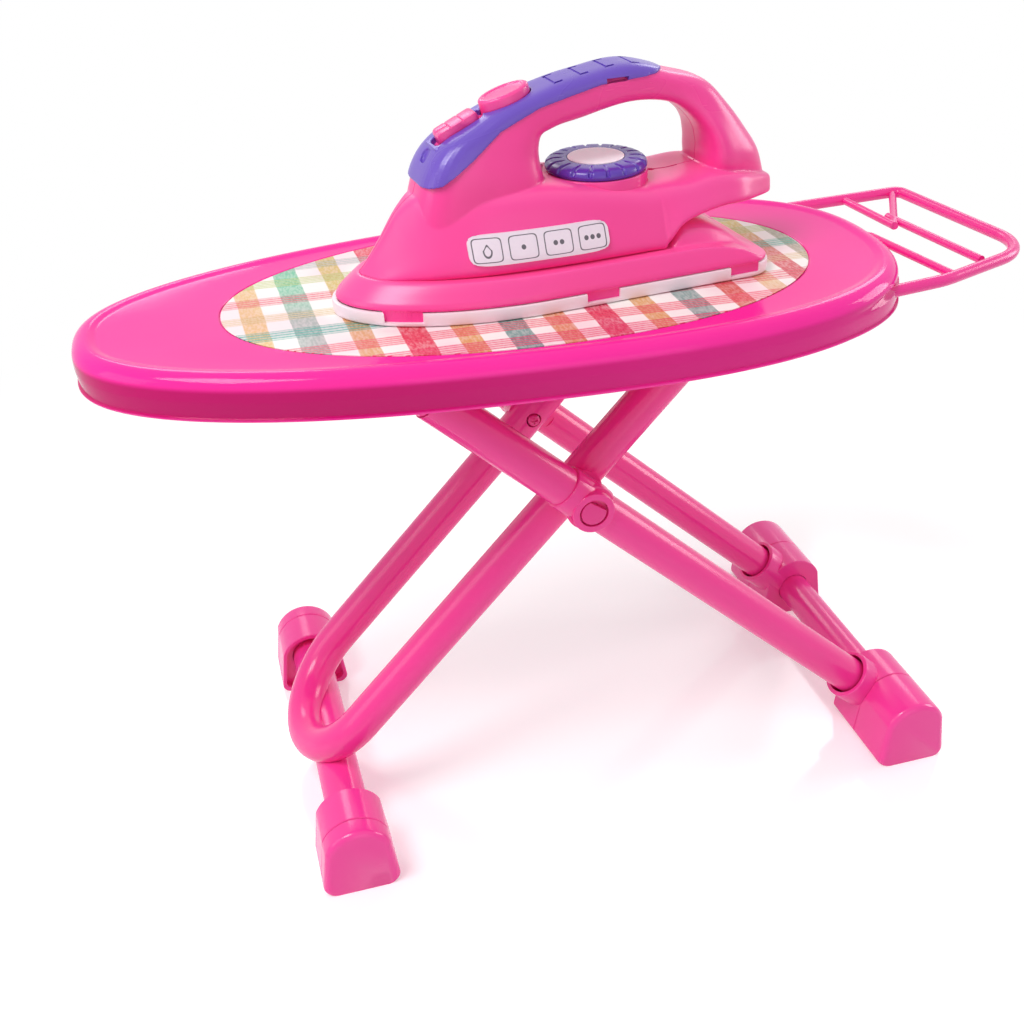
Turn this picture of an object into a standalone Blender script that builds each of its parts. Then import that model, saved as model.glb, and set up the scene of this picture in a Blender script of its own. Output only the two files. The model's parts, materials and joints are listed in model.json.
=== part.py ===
"""Toy ironing board with folding scissor legs, an iron rack and its toy iron.

Metres, +Z up, +X towards the rack, -Y towards the near side. The feet stand on
z = 0 and x = 0 is midway between the board's nose and the tip of the rack.
"""

import math

import bmesh
import bpy
from mathutils import Matrix, Vector

# Fits
TOUCH_GAP = 0.0003
RUN_GAP = 0.0004
OVERRUN = 0.004

# Board
BOARD_LENGTH = 0.4116
BOARD_HALF_WIDTH = 0.0969
BOARD_TAPER_SHARE = 0.168
BOARD_POWER = 2.442
BOARD_TOP_Z = 0.2842
SKIRT_DEPTH = 0.0215
RIM_WIDTH = 0.0094
RIM_RISE = 0.0012
RIM_ROUNDING = 0.0076
SKIRT_WALL = 0.0026
DECK_WALL = 0.0022
SKIRT_LIP = 0.0011
CREASE_DEPTH = 0.0022
CREASE_HEIGHT = 0.0092
SOCKET_SWELL = 0.0016
RIB_DEPTH = 0.0024
RIB_THICKNESS = 0.0020
RIB_COUNT = 5

# Inlay
INLAY_LENGTH = 0.2978
INLAY_HALF_WIDTH = 0.0826
INLAY_POWER = 2.09
INLAY_TAPER_SHARE = 0.063
INLAY_SHIFT = 0.0128
INLAY_THICKNESS = 0.0005

# Rack
RACK_REACH = 0.0790
RACK_DROP = 0.0122
RACK_ROD_RADIUS = 0.0032
RACK_BAR_RADIUS = 0.0022
RACK_CORNER_RADIUS = 0.0055
RACK_TIP_RADIUS = 0.0300
RACK_BEND_RADIUS = 0.0600
RACK_ROOT_DEPTH = 0.0640
BRACKET_LENGTH = 0.0120
BRACKET_CHEEK = 0.0030

# Leg geometry, in the side view
FOOT_SPACING = 0.320
FEET_SHIFT = 0.0465
PIVOT_SHIFT = 0.0213
PIVOT_Z = 0.1858
HINGE_Z = 0.2580
SLIDE_ROD_Z = 0.2660
INNER_LEG_ANGLE = math.atan2(1.0, 0.9597)
OUTER_LEG_ANGLE = math.atan2(1.0, 1.0697)
SLIDE_TRAVEL = 0.0620

# Leg frames
TUBE_RADIUS = 0.0103
INNER_TUBE_Y = 0.0410
TUBE_SIDE_GAP = 0.0012
EYE_NECK = 0.0140
EYE_WIDTH = 0.0206
OUTER_EYE_WIDTH = 0.0120
BEND_START_Z = 0.0577
SHAFT_RADIUS = 0.0030
SLIDE_ROD_RADIUS = 0.0032

# Channel
CHANNEL_HALF_WIDTH = 0.0260
CHANNEL_WALL = 0.0020
CHANNEL_EDGE = 0.0042
SLOT_CLEARANCE = 0.0008
DETENT_HEIGHT = 0.0004
DETENT_OFFSET = 0.0090
BUSH_WALL = 0.0020
SCREW_HEAD_RADIUS = 0.0031
SCREW_HEAD_HEIGHT = 0.0016
SCREW_SHANK_RADIUS = 0.0015
SCREW_BITE = 0.0028
BOSS_RADIUS = 0.0040

# Scissor pivot
HUB_RADIUS = 0.0109
HUB_STEP_RADIUS = 0.0124
HUB_STEP_HEIGHT = 0.0062
HUB_STANDOFF = 0.0117
HUB_RECESS_RADIUS = 0.0075
HUB_RECESS_DEPTH = 0.0034
SLEEVE_RADIUS = 0.0114
SLEEVE_BACK = 0.0170
SLEEVE_FRONT = 0.0080
PIN_RADIUS = 0.0040
PIN_HEAD_RADIUS = 0.0066
PIN_HEAD_HEIGHT = 0.0030
PIN_FLAT_SHARE = 0.62
PIVOT_BOSS_RADIUS = 0.0120
WASHER_RADIUS = 0.0092
WASHER_THICKNESS = 0.0014
PIVOT_SCREW_LENGTH = 0.0080

# Feet
FOOT_HALF_WIDTH = 0.0204
FOOT_DOME_RADIUS = 0.0178
FOOT_HEIGHT = 0.0400
FOOT_CORNER_RADIUS = 0.0045
FOOT_END_Y = 0.1059
FOOT_END_ROUNDING = 0.0036
FOOT_WALL = 0.0024
FOOT_POCKET = 0.0120
INNER_SLEEVE_Y = 0.0708
INNER_CAP_Y = 0.0938
INNER_BAR_RADIUS = 0.0115
INNER_BAR_Z = 0.0215
OUTER_COUPLER_Y = 0.0494
OUTER_CAP_Y = 0.0745
OUTER_BAR_RADIUS = 0.0100
OUTER_BAR_Z = 0.0190
BAR_INSET = 0.0065
FOOT_SCREW_LENGTH = 0.0230
SOCKET_RADIUS = 0.0142
SOCKET_BORE_RADIUS = 0.0119
SOCKET_REACH = 0.0290
SOCKET_SEAT = 0.0116

# Iron, in its own frame: x from the nose to the heel, y across, z up from the sole
IRON_NOSE_BACK = 0.1223
IRON_NOSE_SIDE = 0.0120
IRON_YAW = math.radians(5.34)
IRON_LENGTH = 0.2130
IRON_HALF_WIDTH = 0.0465
IRON_HEIGHT = 0.1030
NOSE_SHARE = 0.446
NOSE_POWER = 0.52
HEEL_CORNER = 0.0140
SOLE_HEIGHT = 0.0063
SOLE_BEVEL = 0.0012
SOLE_WALL = 0.0022
SOLE_FLOOR = 0.0020
BASE_SKIRT_TOP = 0.0177
BASE_SKIRT_INSET = 0.0051
BASE_SKIRT_NOSE = 0.0135
HOOK_THICKNESS = 0.0020
HOOK_WINDOW_LOW = 0.0016
HOOK_WINDOW_HIGH = 0.0046
HULL_POWER = 6.0
GRIP_POWER = 3.2
BODY_WALL = 0.0024
COVER_THICKNESS = 0.0018
COVER_PROUD = 0.0004
LABEL_THICKNESS = 0.0006
LABEL_TOP_Z = 0.0370
LABEL_HEIGHT = 0.0135
LABEL_START = 0.0590
LABEL_LENGTH = 0.0675
DIAL_SHARE = 0.6385
DIAL_RADIUS = 0.0257
DIAL_HEIGHT = 0.0056
DIAL_Z = 0.0510
DIAL_FLUTES = 18
DIAL_FLUTE_DEPTH = 0.0012
DIAL_DISC_RADIUS = 0.0146
DIAL_DISC_THICKNESS = 0.0012
DIAL_DISC_RECESS = 0.0006
DIAL_STEM_RADIUS = 0.0040
DIAL_STEM_LENGTH = 0.0080
DIAL_BOSS_RADIUS = 0.0240
DIAL_BOSS_DEPTH = 0.0140
BUTTON_SHARE = 0.425
BUTTON_LENGTH = 0.0250
BUTTON_WIDTH = 0.0175
BUTTON_RISE = 0.0040
BUTTON_SKIRT = 0.0034
BUTTON_TRAVEL = 0.0022
BUTTON_STEM_RADIUS = 0.0026
BUTTON_STEM_LENGTH = 0.0070
SPRING_RADIUS = 0.0040
SPRING_WIRE = 0.0005
SPRING_TURNS = 3
SPRING_LENGTH = 0.0070
SWITCH_SHARE = 0.312
SWITCH_LENGTH = 0.0215
SWITCH_WIDTH = 0.0105
SWITCH_RISE = 0.0010
SWITCH_DEPTH = 0.0034
SWITCH_TRAVEL = 0.0040
SWITCH_STEM = 0.0030
GRIP_RIBS = 4
GRIP_RIB_START = 0.528
GRIP_RIB_PITCH = 0.0128
GRIP_RIB_WIDTH = 0.0150
GRIP_RIB_LENGTH = 0.0062
GRIP_RIB_RISE = 0.0008

# Lower body: station, floor, roof, half width at the floor and at the roof, as
# shares of the iron's length, height, height, half width and half width
HULL_SHARES = [
    (0.066, 0.175, 0.183, 0.065, 0.026),
    (0.085, 0.175, 0.222, 0.247, 0.034),
    (0.117, 0.175, 0.306, 0.402, 0.054),
    (0.169, 0.175, 0.451, 0.557, 0.108),
    (0.225, 0.175, 0.515, 0.677, 0.258),
    (0.329, 0.175, 0.515, 0.796, 0.473),
    (0.469, 0.175, 0.515, 0.860, 0.559),
    (0.587, 0.175, 0.485, 0.871, 0.581),
    (0.704, 0.175, 0.445, 0.860, 0.581),
    (0.742, 0.175, 0.444, 0.848, 0.574),
    (0.779, 0.252, 0.444, 0.820, 0.566),
    (0.822, 0.283, 0.443, 0.780, 0.559),
    (0.892, 0.296, 0.455, 0.690, 0.516),
    (0.962, 0.291, 0.430, 0.595, 0.473),
    (1.023, 0.277, 0.393, 0.400, 0.330),
    (1.070, 0.267, 0.359, 0.220, 0.190),
    (1.085, 0.277, 0.320, 0.100, 0.080),
]

# Handle: station and height of its centre, half thickness, direction in degrees and
# half widths of its outer and inner face, as shares of length, height, length and half width
GRIP_SHARES = [
    (0.350, 0.365, 0.164, 90, 0.490, 0.490),
    (0.357, 0.553, 0.140, 82, 0.473, 0.473),
    (0.376, 0.673, 0.112, 79, 0.409, 0.409),
    (0.423, 0.755, 0.077, 74, 0.351, 0.351),
    (0.495, 0.806, 0.049, 42, 0.312, 0.312),
    (0.592, 0.847, 0.045, 9, 0.290, 0.290),
    (0.704, 0.878, 0.042, 2, 0.286, 0.286),
    (0.805, 0.839, 0.034, -12, 0.258, 0.280),
    (0.871, 0.779, 0.041, -31.7, 0.247, 0.344),
    (0.915, 0.685, 0.044, -57.7, 0.247, 0.441),
    (0.945, 0.583, 0.057, -75.6, 0.258, 0.516),
    (0.965, 0.481, 0.075, -86.4, 0.280, 0.527),
    (0.980, 0.350, 0.088, -90, 0.194, 0.430),
]

# Raised heel of the skirt under the body: station, floor, roof, half width at the
# floor and at the roof, as shares in the same way as for the lower body
HEEL_SHARES = [
    (0.734, 0.090, 0.158, 0.882, 0.817),
    (0.746, 0.090, 0.172, 0.882, 0.796),
    (0.779, 0.090, 0.245, 0.871, 0.731),
    (0.808, 0.090, 0.258, 0.871, 0.688),
    (0.859, 0.090, 0.241, 0.860, 0.645),
    (0.915, 0.083, 0.180, 0.817, 0.602),
    (0.958, 0.078, 0.112, 0.774, 0.581),
    (0.981, 0.073, 0.087, 0.731, 0.559),
]

# Upper edge of the skirt's wall where it slopes down to the heel
REAR_EDGE_SHARES = [(0.800, 0.173), (0.870, 0.158), (0.915, 0.135), (0.958, 0.090), (1.010, 0.074)]

# Lower edge of the grip cover in the side view, as shares of length and height
COVER_EDGE_SHARES = [
    (0.141, 0.492), (0.178, 0.550), (0.244, 0.575), (0.315, 0.657), (0.385, 0.750),
    (0.479, 0.819), (0.624, 0.883), (0.761, 0.908), (0.789, 0.929),
]
HOOK_SHARES = [(0.082, 0.160), (0.521, 0.601), (0.878, 0.953)]

# Places that follow from the sizes above
BOARD_X = -RACK_REACH / 2
DECK_Z = BOARD_TOP_Z - RIM_RISE
SKIRT_Z = BOARD_TOP_Z - SKIRT_DEPTH
RECESS_DEPTH = INLAY_THICKNESS + TOUCH_GAP
CEILING_Z = DECK_Z - RECESS_DEPTH - DECK_WALL
RIB_Z = CEILING_Z - RIB_DEPTH
WEB_TOP_Z = RIB_Z - TOUCH_GAP
WEB_Z = WEB_TOP_Z - CHANNEL_WALL
RACK_Z = BOARD_TOP_Z - RACK_DROP
RACK_TIP_X = BOARD_X + BOARD_LENGTH / 2 + RACK_REACH
FEET_X = BOARD_X + FEET_SHIFT
INNER_FOOT_X = FEET_X - FOOT_SPACING / 2
OUTER_FOOT_X = FEET_X + FOOT_SPACING / 2
OUTER_TUBE_Y = INNER_TUBE_Y + 2 * TUBE_RADIUS + TUBE_SIDE_GAP
PIVOT = Vector((FEET_X - PIVOT_SHIFT, 0, PIVOT_Z))
INNER_DIRECTION = Vector((math.cos(INNER_LEG_ANGLE), 0, math.sin(INNER_LEG_ANGLE)))
OUTER_DIRECTION = Vector((-math.cos(OUTER_LEG_ANGLE), 0, math.sin(OUTER_LEG_ANGLE)))
HINGE = PIVOT + INNER_DIRECTION * ((HINGE_Z - PIVOT_Z) / INNER_DIRECTION.z)
SLIDE_ROD = PIVOT + OUTER_DIRECTION * ((SLIDE_ROD_Z - PIVOT_Z) / OUTER_DIRECTION.z)
HUB_FACE_Y = OUTER_TUBE_Y + HUB_STANDOFF

ROUND_STEPS = 12
TUBE_STEPS = 14
BOARD_STEPS = 40
IRON_STEPS = 36
SCREW_STEPS = 6
SIDES = {-1: "near", 1: "far"}


# Materials

def plastic(name, colour, roughness):
    """A moulded plastic of one colour."""
    material = bpy.data.materials.new(name)
    material.use_nodes = True
    shader = material.node_tree.nodes["Principled BSDF"]
    shader.inputs["Base Color"].default_value = (*colour, 1.0)
    shader.inputs["Roughness"].default_value = roughness
    shader.inputs["Metallic"].default_value = 0.0
    return material


def steel(name):
    """Bright plated steel."""
    material = plastic(name, (0.60, 0.60, 0.62), 0.30)
    material.node_tree.nodes["Principled BSDF"].inputs["Metallic"].default_value = 1.0
    return material


# Mesh tools

def resample(points, count):
    """Even spacing along a closed outline, starting at its first point."""
    closed = points + [points[0]]
    lengths = [(b - a).length for a, b in zip(closed, closed[1:])]
    step = sum(lengths) / count
    result, index, before = [], 0, 0.0
    for i in range(count):
        target = i * step
        while before + lengths[index] < target:
            before += lengths[index]
            index += 1
        share = (target - before) / lengths[index]
        result.append(closed[index].lerp(closed[index + 1], share))
    return result


def inset_outline(points, inset):
    """Move each point of a counter-clockwise outline inwards along its normal."""
    insets = inset if isinstance(inset, list) else [inset] * len(points)
    moved = []
    for i, point in enumerate(points):
        along = (points[(i + 1) % len(points)] - points[i - 1]).normalized()
        inward = Vector((-along.y, along.x, 0))
        moved.append(point + inward * insets[i])
    return moved


def finish(name, bm, material, smooth_angle=40):
    """Turn a bmesh into a named object with outward faces and smooth round sides."""
    bmesh.ops.recalc_face_normals(bm, faces=bm.faces[:])
    mesh = bpy.data.meshes.new(name)
    bm.to_mesh(mesh)
    bm.free()
    mesh.materials.append(material)
    mesh.shade_smooth()
    mesh.set_sharp_from_angle(angle=math.radians(smooth_angle))
    thing = bpy.data.objects.new(name, mesh)
    bpy.context.scene.collection.objects.link(thing)
    return thing


def loft_mesh(rings):
    """A closed body through rings of equal point count, with flat ends."""
    bm = bmesh.new()
    layers = [[bm.verts.new(point) for point in ring] for ring in rings]
    for lower, upper in zip(layers, layers[1:]):
        for i in range(len(lower)):
            j = (i + 1) % len(lower)
            bm.faces.new((lower[i], lower[j], upper[j], upper[i]))
    bm.faces.new(layers[0][::-1])
    bm.faces.new(layers[-1])
    return bm


def loft(name, rings, material):
    """A lofted object."""
    return finish(name, loft_mesh(rings), material)


def sweep(name, path, radius, material, sides=ROUND_STEPS):
    """A round rod along a path of points, with flat ends."""
    tangents = []
    for i, point in enumerate(path):
        ahead = path[min(i + 1, len(path) - 1)]
        behind = path[max(i - 1, 0)]
        tangents.append((ahead - behind).normalized())
    side = tangents[0].orthogonal().normalized()
    rings = []
    for point, tangent in zip(path, tangents):
        side = (side - tangent * side.dot(tangent)).normalized()
        other = tangent.cross(side)
        ring = []
        for k in range(sides):
            a = math.tau * k / sides
            ring.append(point + (side * math.cos(a) + other * math.sin(a)) * radius)
        rings.append(ring)
    return loft(name, rings, material)


def rod(name, start, end, radius, material, sides=ROUND_STEPS):
    """A straight round rod."""
    return sweep(name, [start, end], radius, material, sides)


def turned(name, profile, base, axis, material, steps=ROUND_STEPS * 2):
    """A body of revolution; profile holds (height along the axis, radius)."""
    side = axis.orthogonal().normalized()
    other = axis.cross(side)
    rings = []
    for height, radius in profile:
        ring = []
        for k in range(steps):
            a = math.tau * k / steps
            ring.append(base + axis * height + (side * math.cos(a) + other * math.sin(a)) * radius)
        rings.append(ring)
    return loft(name, rings, material)


def prism(name, outline, start, shift, material):
    """An outline of points pushed along a straight line."""
    rings = [[start + p for p in outline], [start + shift + p for p in outline]]
    return loft(name, rings, material)


def block(name, low, high, material):
    """A box between two corners."""
    outline = [Vector((low.x, low.y, 0)), Vector((high.x, low.y, 0)),
               Vector((high.x, high.y, 0)), Vector((low.x, high.y, 0))]
    return prism(name, outline, Vector((0, 0, low.z)), Vector((0, 0, high.z - low.z)), material)


def boolean(target, tools, operation, solver='EXACT'):
    """Apply one Boolean after another to the target and delete the tools."""
    for tool in tools:
        modifier = target.modifiers.new("cut", 'BOOLEAN')
        modifier.operation = operation
        modifier.solver = solver
        modifier.object = tool
        bpy.context.view_layer.update()
        evaluated = target.evaluated_get(bpy.context.evaluated_depsgraph_get())
        mesh = bpy.data.meshes.new_from_object(evaluated)
        target.modifiers.clear()
        target.data = mesh
        bpy.data.objects.remove(tool)
    target.data.shade_smooth()
    target.data.set_sharp_from_angle(angle=math.radians(40))
    target.data.name = target.name
    return target


def cut(target, *tools):
    return boolean(target, tools, 'DIFFERENCE')


def join(target, *tools):
    return boolean(target, tools, 'UNION')


def keep_inside(target, *tools):
    return boolean(target, tools, 'INTERSECT')


def parent_to(parent, *children):
    """Hang objects under a parent without moving them."""
    bpy.context.view_layer.update()
    for child in children:
        child.parent = parent
        child.matrix_parent_inverse = parent.matrix_world.inverted()


def axis_empty(name, location, rotation_z=0.0):
    """An empty that marks a joint's axis or a sub-assembly's seat."""
    empty = bpy.data.objects.new(name, None)
    empty.location = location
    empty.rotation_euler = (0, 0, rotation_z)
    bpy.context.scene.collection.objects.link(empty)
    return empty


def set_origin(thing, point):
    """Put an object's own origin on its joint axis."""
    thing.data.transform(Matrix.Translation(-point))
    thing.location = point


def arc(centre_a, centre_b, radius, start, end, steps):
    """Points (a, b) of an arc, angles in degrees."""
    points = []
    for i in range(steps + 1):
        angle = math.radians(start + (end - start) * i / steps)
        points.append((centre_a + radius * math.cos(angle), centre_b + radius * math.sin(angle)))
    return points


def screw(name, head_face, axis, length, material, grow=0.0):
    """A pan-head screw from its head's outer face along its axis, or its grown cutter."""
    lead = OVERRUN if grow else 0.0
    profile = [(-lead, SCREW_HEAD_RADIUS + grow), (SCREW_HEAD_HEIGHT + grow, SCREW_HEAD_RADIUS + grow),
               (SCREW_HEAD_HEIGHT + grow, SCREW_SHANK_RADIUS + grow), (length + grow, SCREW_SHANK_RADIUS + grow)]
    return turned(name, profile, head_face, axis, material, SCREW_STEPS)


def signed_power(value, power):
    return math.copysign(abs(value) ** power, value)


def smooth_rows(rows, steps):
    """Rows of numbers with more rows between them on a Catmull-Rom curve."""
    result = []
    for i in range(len(rows) - 1):
        before, start = rows[max(i - 1, 0)], rows[i]
        end, after = rows[i + 1], rows[min(i + 2, len(rows) - 1)]
        for k in range(steps):
            t = k / steps
            result.append([0.5 * (2 * b + (c - a) * t + (2 * a - 5 * b + 4 * c - d) * t ** 2
                                  + (3 * b - a - 3 * c + d) * t ** 3)
                           for a, b, c, d in zip(before, start, end, after)])
    result.append(list(rows[-1]))
    return result


def rounded_path(corners, radii, steps=6):
    """A path through corner points with each inner corner turned on an arc."""
    path = [corners[0]]
    for before, corner, after, radius in zip(corners, corners[1:], corners[2:], radii):
        to_before = (before - corner).normalized()
        to_after = (after - corner).normalized()
        half_angle = to_before.angle(to_after) / 2
        reach = radius / math.tan(half_angle)
        centre = corner + (to_before + to_after).normalized() * (radius / math.sin(half_angle))
        start = corner + to_before * reach - centre
        end = corner + to_after * reach - centre
        for i in range(steps + 1):
            path.append(centre + start.slerp(end, i / steps) * radius)
    path.append(corners[-1])
    return path


# Board

def egg_outline(centre_x, half_length, half_width, power, taper, count):
    """An egg-shaped outline, wider towards +X, counter-clockwise from the +X tip."""
    dense = []
    for i in range(count * 8):
        angle = math.tau * i / (count * 8)
        cosine, sine = math.cos(angle), math.sin(angle)
        across = math.copysign(abs(cosine) ** (2 / power), cosine)
        up = math.copysign(abs(sine) ** (2 / power), sine)
        dense.append(Vector((centre_x + half_length * across,
                             half_width * up * (1 + taper * across), 0)))
    return resample(dense, count)


def board_outline():
    return egg_outline(BOARD_X, BOARD_LENGTH / 2, BOARD_HALF_WIDTH,
                       BOARD_POWER, BOARD_TAPER_SHARE, BOARD_STEPS)


def inlay_outline():
    return egg_outline(BOARD_X + INLAY_SHIFT, INLAY_LENGTH / 2, INLAY_HALF_WIDTH,
                       INLAY_POWER, INLAY_TAPER_SHARE, BOARD_STEPS)


def rack_end_share(point):
    """0 along the board, rising to 1 round the end that carries the rack."""
    share = (point.x - BOARD_X) / (BOARD_LENGTH / 2)
    share = min(max((share - 0.72) / 0.22, 0.0), 1.0)
    return share * share * (3 - 2 * share)


def at_height(outline, z):
    return [Vector((p.x, p.y, z)) for p in outline]


def board_shell_rings():
    """Rings from the ceiling of the hollow, round the skirt and rim, to the inlay's recess."""
    outline = board_outline()
    ends = [rack_end_share(point) for point in outline]
    crease_z = BOARD_TOP_Z - CREASE_HEIGHT

    def ring(z, inset, crease=0.0, swell=0.0):
        insets = [inset + crease * share - swell * share for share in ends]
        return at_height(inset_outline(outline, insets), z)

    rings = [ring(CEILING_Z, SKIRT_WALL + DECK_WALL),
             ring(CEILING_Z - DECK_WALL / 2, SKIRT_WALL),
             ring(SKIRT_Z + SKIRT_LIP, SKIRT_WALL),
             ring(SKIRT_Z, SKIRT_WALL - SKIRT_LIP / 2),
             ring(SKIRT_Z, SKIRT_LIP, swell=SOCKET_SWELL / 2),
             ring(SKIRT_Z + SKIRT_LIP, SKIRT_LIP / 4, swell=SOCKET_SWELL),
             ring(crease_z - CREASE_DEPTH, 0.0, swell=SOCKET_SWELL / 2),
             ring(crease_z, 0.0, crease=CREASE_DEPTH),
             ring(crease_z + CREASE_DEPTH / 2, 0.0, crease=CREASE_DEPTH / 4)]
    for degrees in (22, 50, 90):
        angle = math.radians(degrees)
        rings.append(ring(BOARD_TOP_Z - RIM_ROUNDING + RIM_ROUNDING * math.sin(angle),
                          RIM_ROUNDING * (1 - math.cos(angle))))
    rings.append(ring(DECK_Z, RIM_WIDTH))
    recess = inset_outline(inlay_outline(), -TOUCH_GAP)
    rings.append(at_height(recess, DECK_Z))
    rings.append(at_height(recess, DECK_Z - RECESS_DEPTH))
    return rings


def deck_ribs(material):
    """Cross ribs, two long ribs and the screw bosses that stiffen the deck from below."""
    blocks = []
    span = BOARD_LENGTH * 0.74
    top = CEILING_Z + DECK_WALL / 2
    for i in range(RIB_COUNT):
        x = BOARD_X - span / 2 + span * i / (RIB_COUNT - 1)
        along = (x - BOARD_X) / (BOARD_LENGTH / 2)
        half_width = BOARD_HALF_WIDTH * (1 - abs(along) ** BOARD_POWER) ** (1 / BOARD_POWER)
        reach = half_width * (1 + BOARD_TAPER_SHARE * along) - SKIRT_WALL * 3
        blocks.append(block("rib", Vector((x - RIB_THICKNESS / 2, -reach, RIB_Z)),
                            Vector((x + RIB_THICKNESS / 2, reach, top)), material))
    for side in SIDES:
        y = side * (CHANNEL_HALF_WIDTH - RIB_THICKNESS)
        blocks.append(block("rib", Vector((BOARD_X - span / 2, y - RIB_THICKNESS / 2, RIB_Z)),
                            Vector((BOARD_X + span / 2, y + RIB_THICKNESS / 2, top)), material))
    for place in screw_places():
        blocks.append(rod("boss", Vector((place.x, place.y, RIB_Z)), Vector((place.x, place.y, top)),
                          BOSS_RADIUS, material, SCREW_STEPS))
    return blocks


def rack_routes():
    """Centre lines of the rack: the outer rod, then its bars and the brace."""
    tip = RACK_TIP_X - RACK_ROD_RADIUS
    start = tip - RACK_REACH
    root = start - RACK_ROOT_DEPTH

    def at(x_share, y_share):
        return Vector((start + RACK_REACH * x_share, BOARD_HALF_WIDTH * y_share, RACK_Z))

    def root_at(y_share):
        return Vector((root, BOARD_HALF_WIDTH * y_share, RACK_Z))

    outer = [root_at(0.778), at(0.853, 0.848), at(1.0355, -0.291), at(0.214, -0.537), root_at(-0.645)]
    first = [at(0.378, 0.82), at(0.434, 0.297)]
    brace = [at(0.770, 0.80), at(0.434, 0.297)]
    second = [at(0.489, 0.456), at(0.618, -0.35)]
    third = [root_at(0.237), at(0.173, 0.213), at(0.305, -0.48)]
    return outer, first, brace, second, third


def rack_body(name, grow, material):
    """The rack's rods as one moulded piece, optionally grown for its holes."""
    outer, first, brace, second, third = rack_routes()
    radii = [RACK_CORNER_RADIUS, RACK_TIP_RADIUS, RACK_BEND_RADIUS]
    frame = sweep(name, rounded_path(outer, radii, 4), RACK_ROD_RADIUS + grow, material, 8)
    bars = [rod("bar", first[0], first[1], RACK_BAR_RADIUS + grow, material, 6),
            rod("bar", brace[0], brace[1], RACK_BAR_RADIUS + grow, material, 6),
            rod("bar", second[0], second[1], RACK_BAR_RADIUS + grow, material, 6),
            sweep("bar", rounded_path(third, [RACK_BAR_RADIUS * 2], 3),
                  RACK_BAR_RADIUS + grow, material, 6)]
    return join(frame, *bars)


def rack_bracket(material):
    """Bar under the deck with a saddle over each rod of the rack that enters the skirt."""
    outer, _, _, _, third = rack_routes()
    roots = [outer[0], outer[-1], third[0]]
    half = RACK_ROD_RADIUS + BRACKET_CHEEK
    start, top = roots[0].x - BRACKET_CHEEK, RIB_Z - TOUCH_GAP
    near_y = min(root.y for root in roots)
    far_y = max(root.y for root in roots)
    bar = block("rack_bracket", Vector((start, near_y, RACK_Z)),
                Vector((start + BRACKET_LENGTH / 2, far_y, top)), material)
    for root in roots:
        join(bar, block("saddle", Vector((start, root.y - half, RACK_Z - half)),
                        Vector((start + BRACKET_LENGTH, root.y + half, top)), material))
    return cut(bar, rack_body("holes", TOUCH_GAP, material))


def channel_outline():
    """Side view of the channel's flanges: deep at the hinge, shallow along the slot."""
    left = SLIDE_ROD.x - SLIDE_TRAVEL - SLIDE_ROD_RADIUS - CHANNEL_EDGE * 2
    right = HINGE.x + SHAFT_RADIUS + CHANNEL_EDGE * 2
    slot_floor = SLIDE_ROD_Z - SLIDE_ROD_RADIUS - SLOT_CLEARANCE - CHANNEL_EDGE
    hinge_floor = HINGE_Z - SHAFT_RADIUS - CHANNEL_EDGE
    step = SLIDE_ROD.x + CHANNEL_EDGE * 3
    points = [(left, slot_floor), (step, slot_floor), (HINGE.x - CHANNEL_EDGE * 3, hinge_floor),
              (right, hinge_floor), (right, WEB_TOP_Z), (left, WEB_TOP_Z)]
    return [Vector((x, 0, z)) for x, z in points]


def slot_outline():
    """The sliding slot, with a low detent that keeps the rod at its open end."""
    radius = SLIDE_ROD_RADIUS + SLOT_CLEARANCE
    detent_x = SLIDE_ROD.x - DETENT_OFFSET
    points = arc(SLIDE_ROD.x, SLIDE_ROD_Z, radius, -90, 90, 5)
    points += arc(SLIDE_ROD.x - SLIDE_TRAVEL - RUN_GAP, SLIDE_ROD_Z, radius, 90, 270, 5)
    points += [(detent_x - radius, SLIDE_ROD_Z - radius),
               (detent_x, SLIDE_ROD_Z - radius + DETENT_HEIGHT),
               (detent_x + radius, SLIDE_ROD_Z - radius)]
    return [Vector((x, 0, z)) for x, z in points]


def screw_places():
    """Four places under the web, clear of the cross ribs."""
    left = SLIDE_ROD.x - SLIDE_TRAVEL
    span = HINGE.x - CHANNEL_EDGE * 5 - left
    return [Vector((left + span * share, side * CHANNEL_HALF_WIDTH / 2, WEB_Z))
            for share in (0.10, 0.92) for side in SIDES]


def leg_channel(material):
    """Channel under the deck: two flanges with the hinge bore and the sliding slot."""
    across = Vector((0, CHANNEL_HALF_WIDTH * 2, 0))
    start = Vector((0, -CHANNEL_HALF_WIDTH, 0))
    body = prism("leg_channel", channel_outline(), start, across, material)
    left = min(p.x for p in channel_outline()) - OVERRUN
    right = max(p.x for p in channel_outline()) + OVERRUN
    inner = CHANNEL_HALF_WIDTH - CHANNEL_WALL
    hollow = block("hollow", Vector((left, -inner, HINGE_Z - HINGE_Z / 2)),
                   Vector((right, inner, WEB_Z)), material)
    wide = Vector((0, across.y + 2 * OVERRUN, 0))
    slot = prism("slot", slot_outline(), start - Vector((0, OVERRUN, 0)), wide, material)
    reach = Vector((0, CHANNEL_HALF_WIDTH + OVERRUN, 0))
    bore = rod("bore", HINGE - reach, HINGE + reach, SHAFT_RADIUS + TOUCH_GAP, material)
    holes = [rod("hole", place - Vector((0, 0, OVERRUN)), place + Vector((0, 0, OVERRUN)),
                 SCREW_SHANK_RADIUS + TOUCH_GAP, material, 8) for place in screw_places()]
    return cut(body, hollow, slot, bore, *holes)


def channel_screw(name, place, grow, material):
    head_face = place - Vector((0, 0, SCREW_HEAD_HEIGHT + TOUCH_GAP))
    length = SCREW_HEAD_HEIGHT + TOUCH_GAP * 2 + CHANNEL_WALL + SCREW_BITE
    return screw(name, head_face, Vector((0, 0, 1)), length, material, grow)


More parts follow.
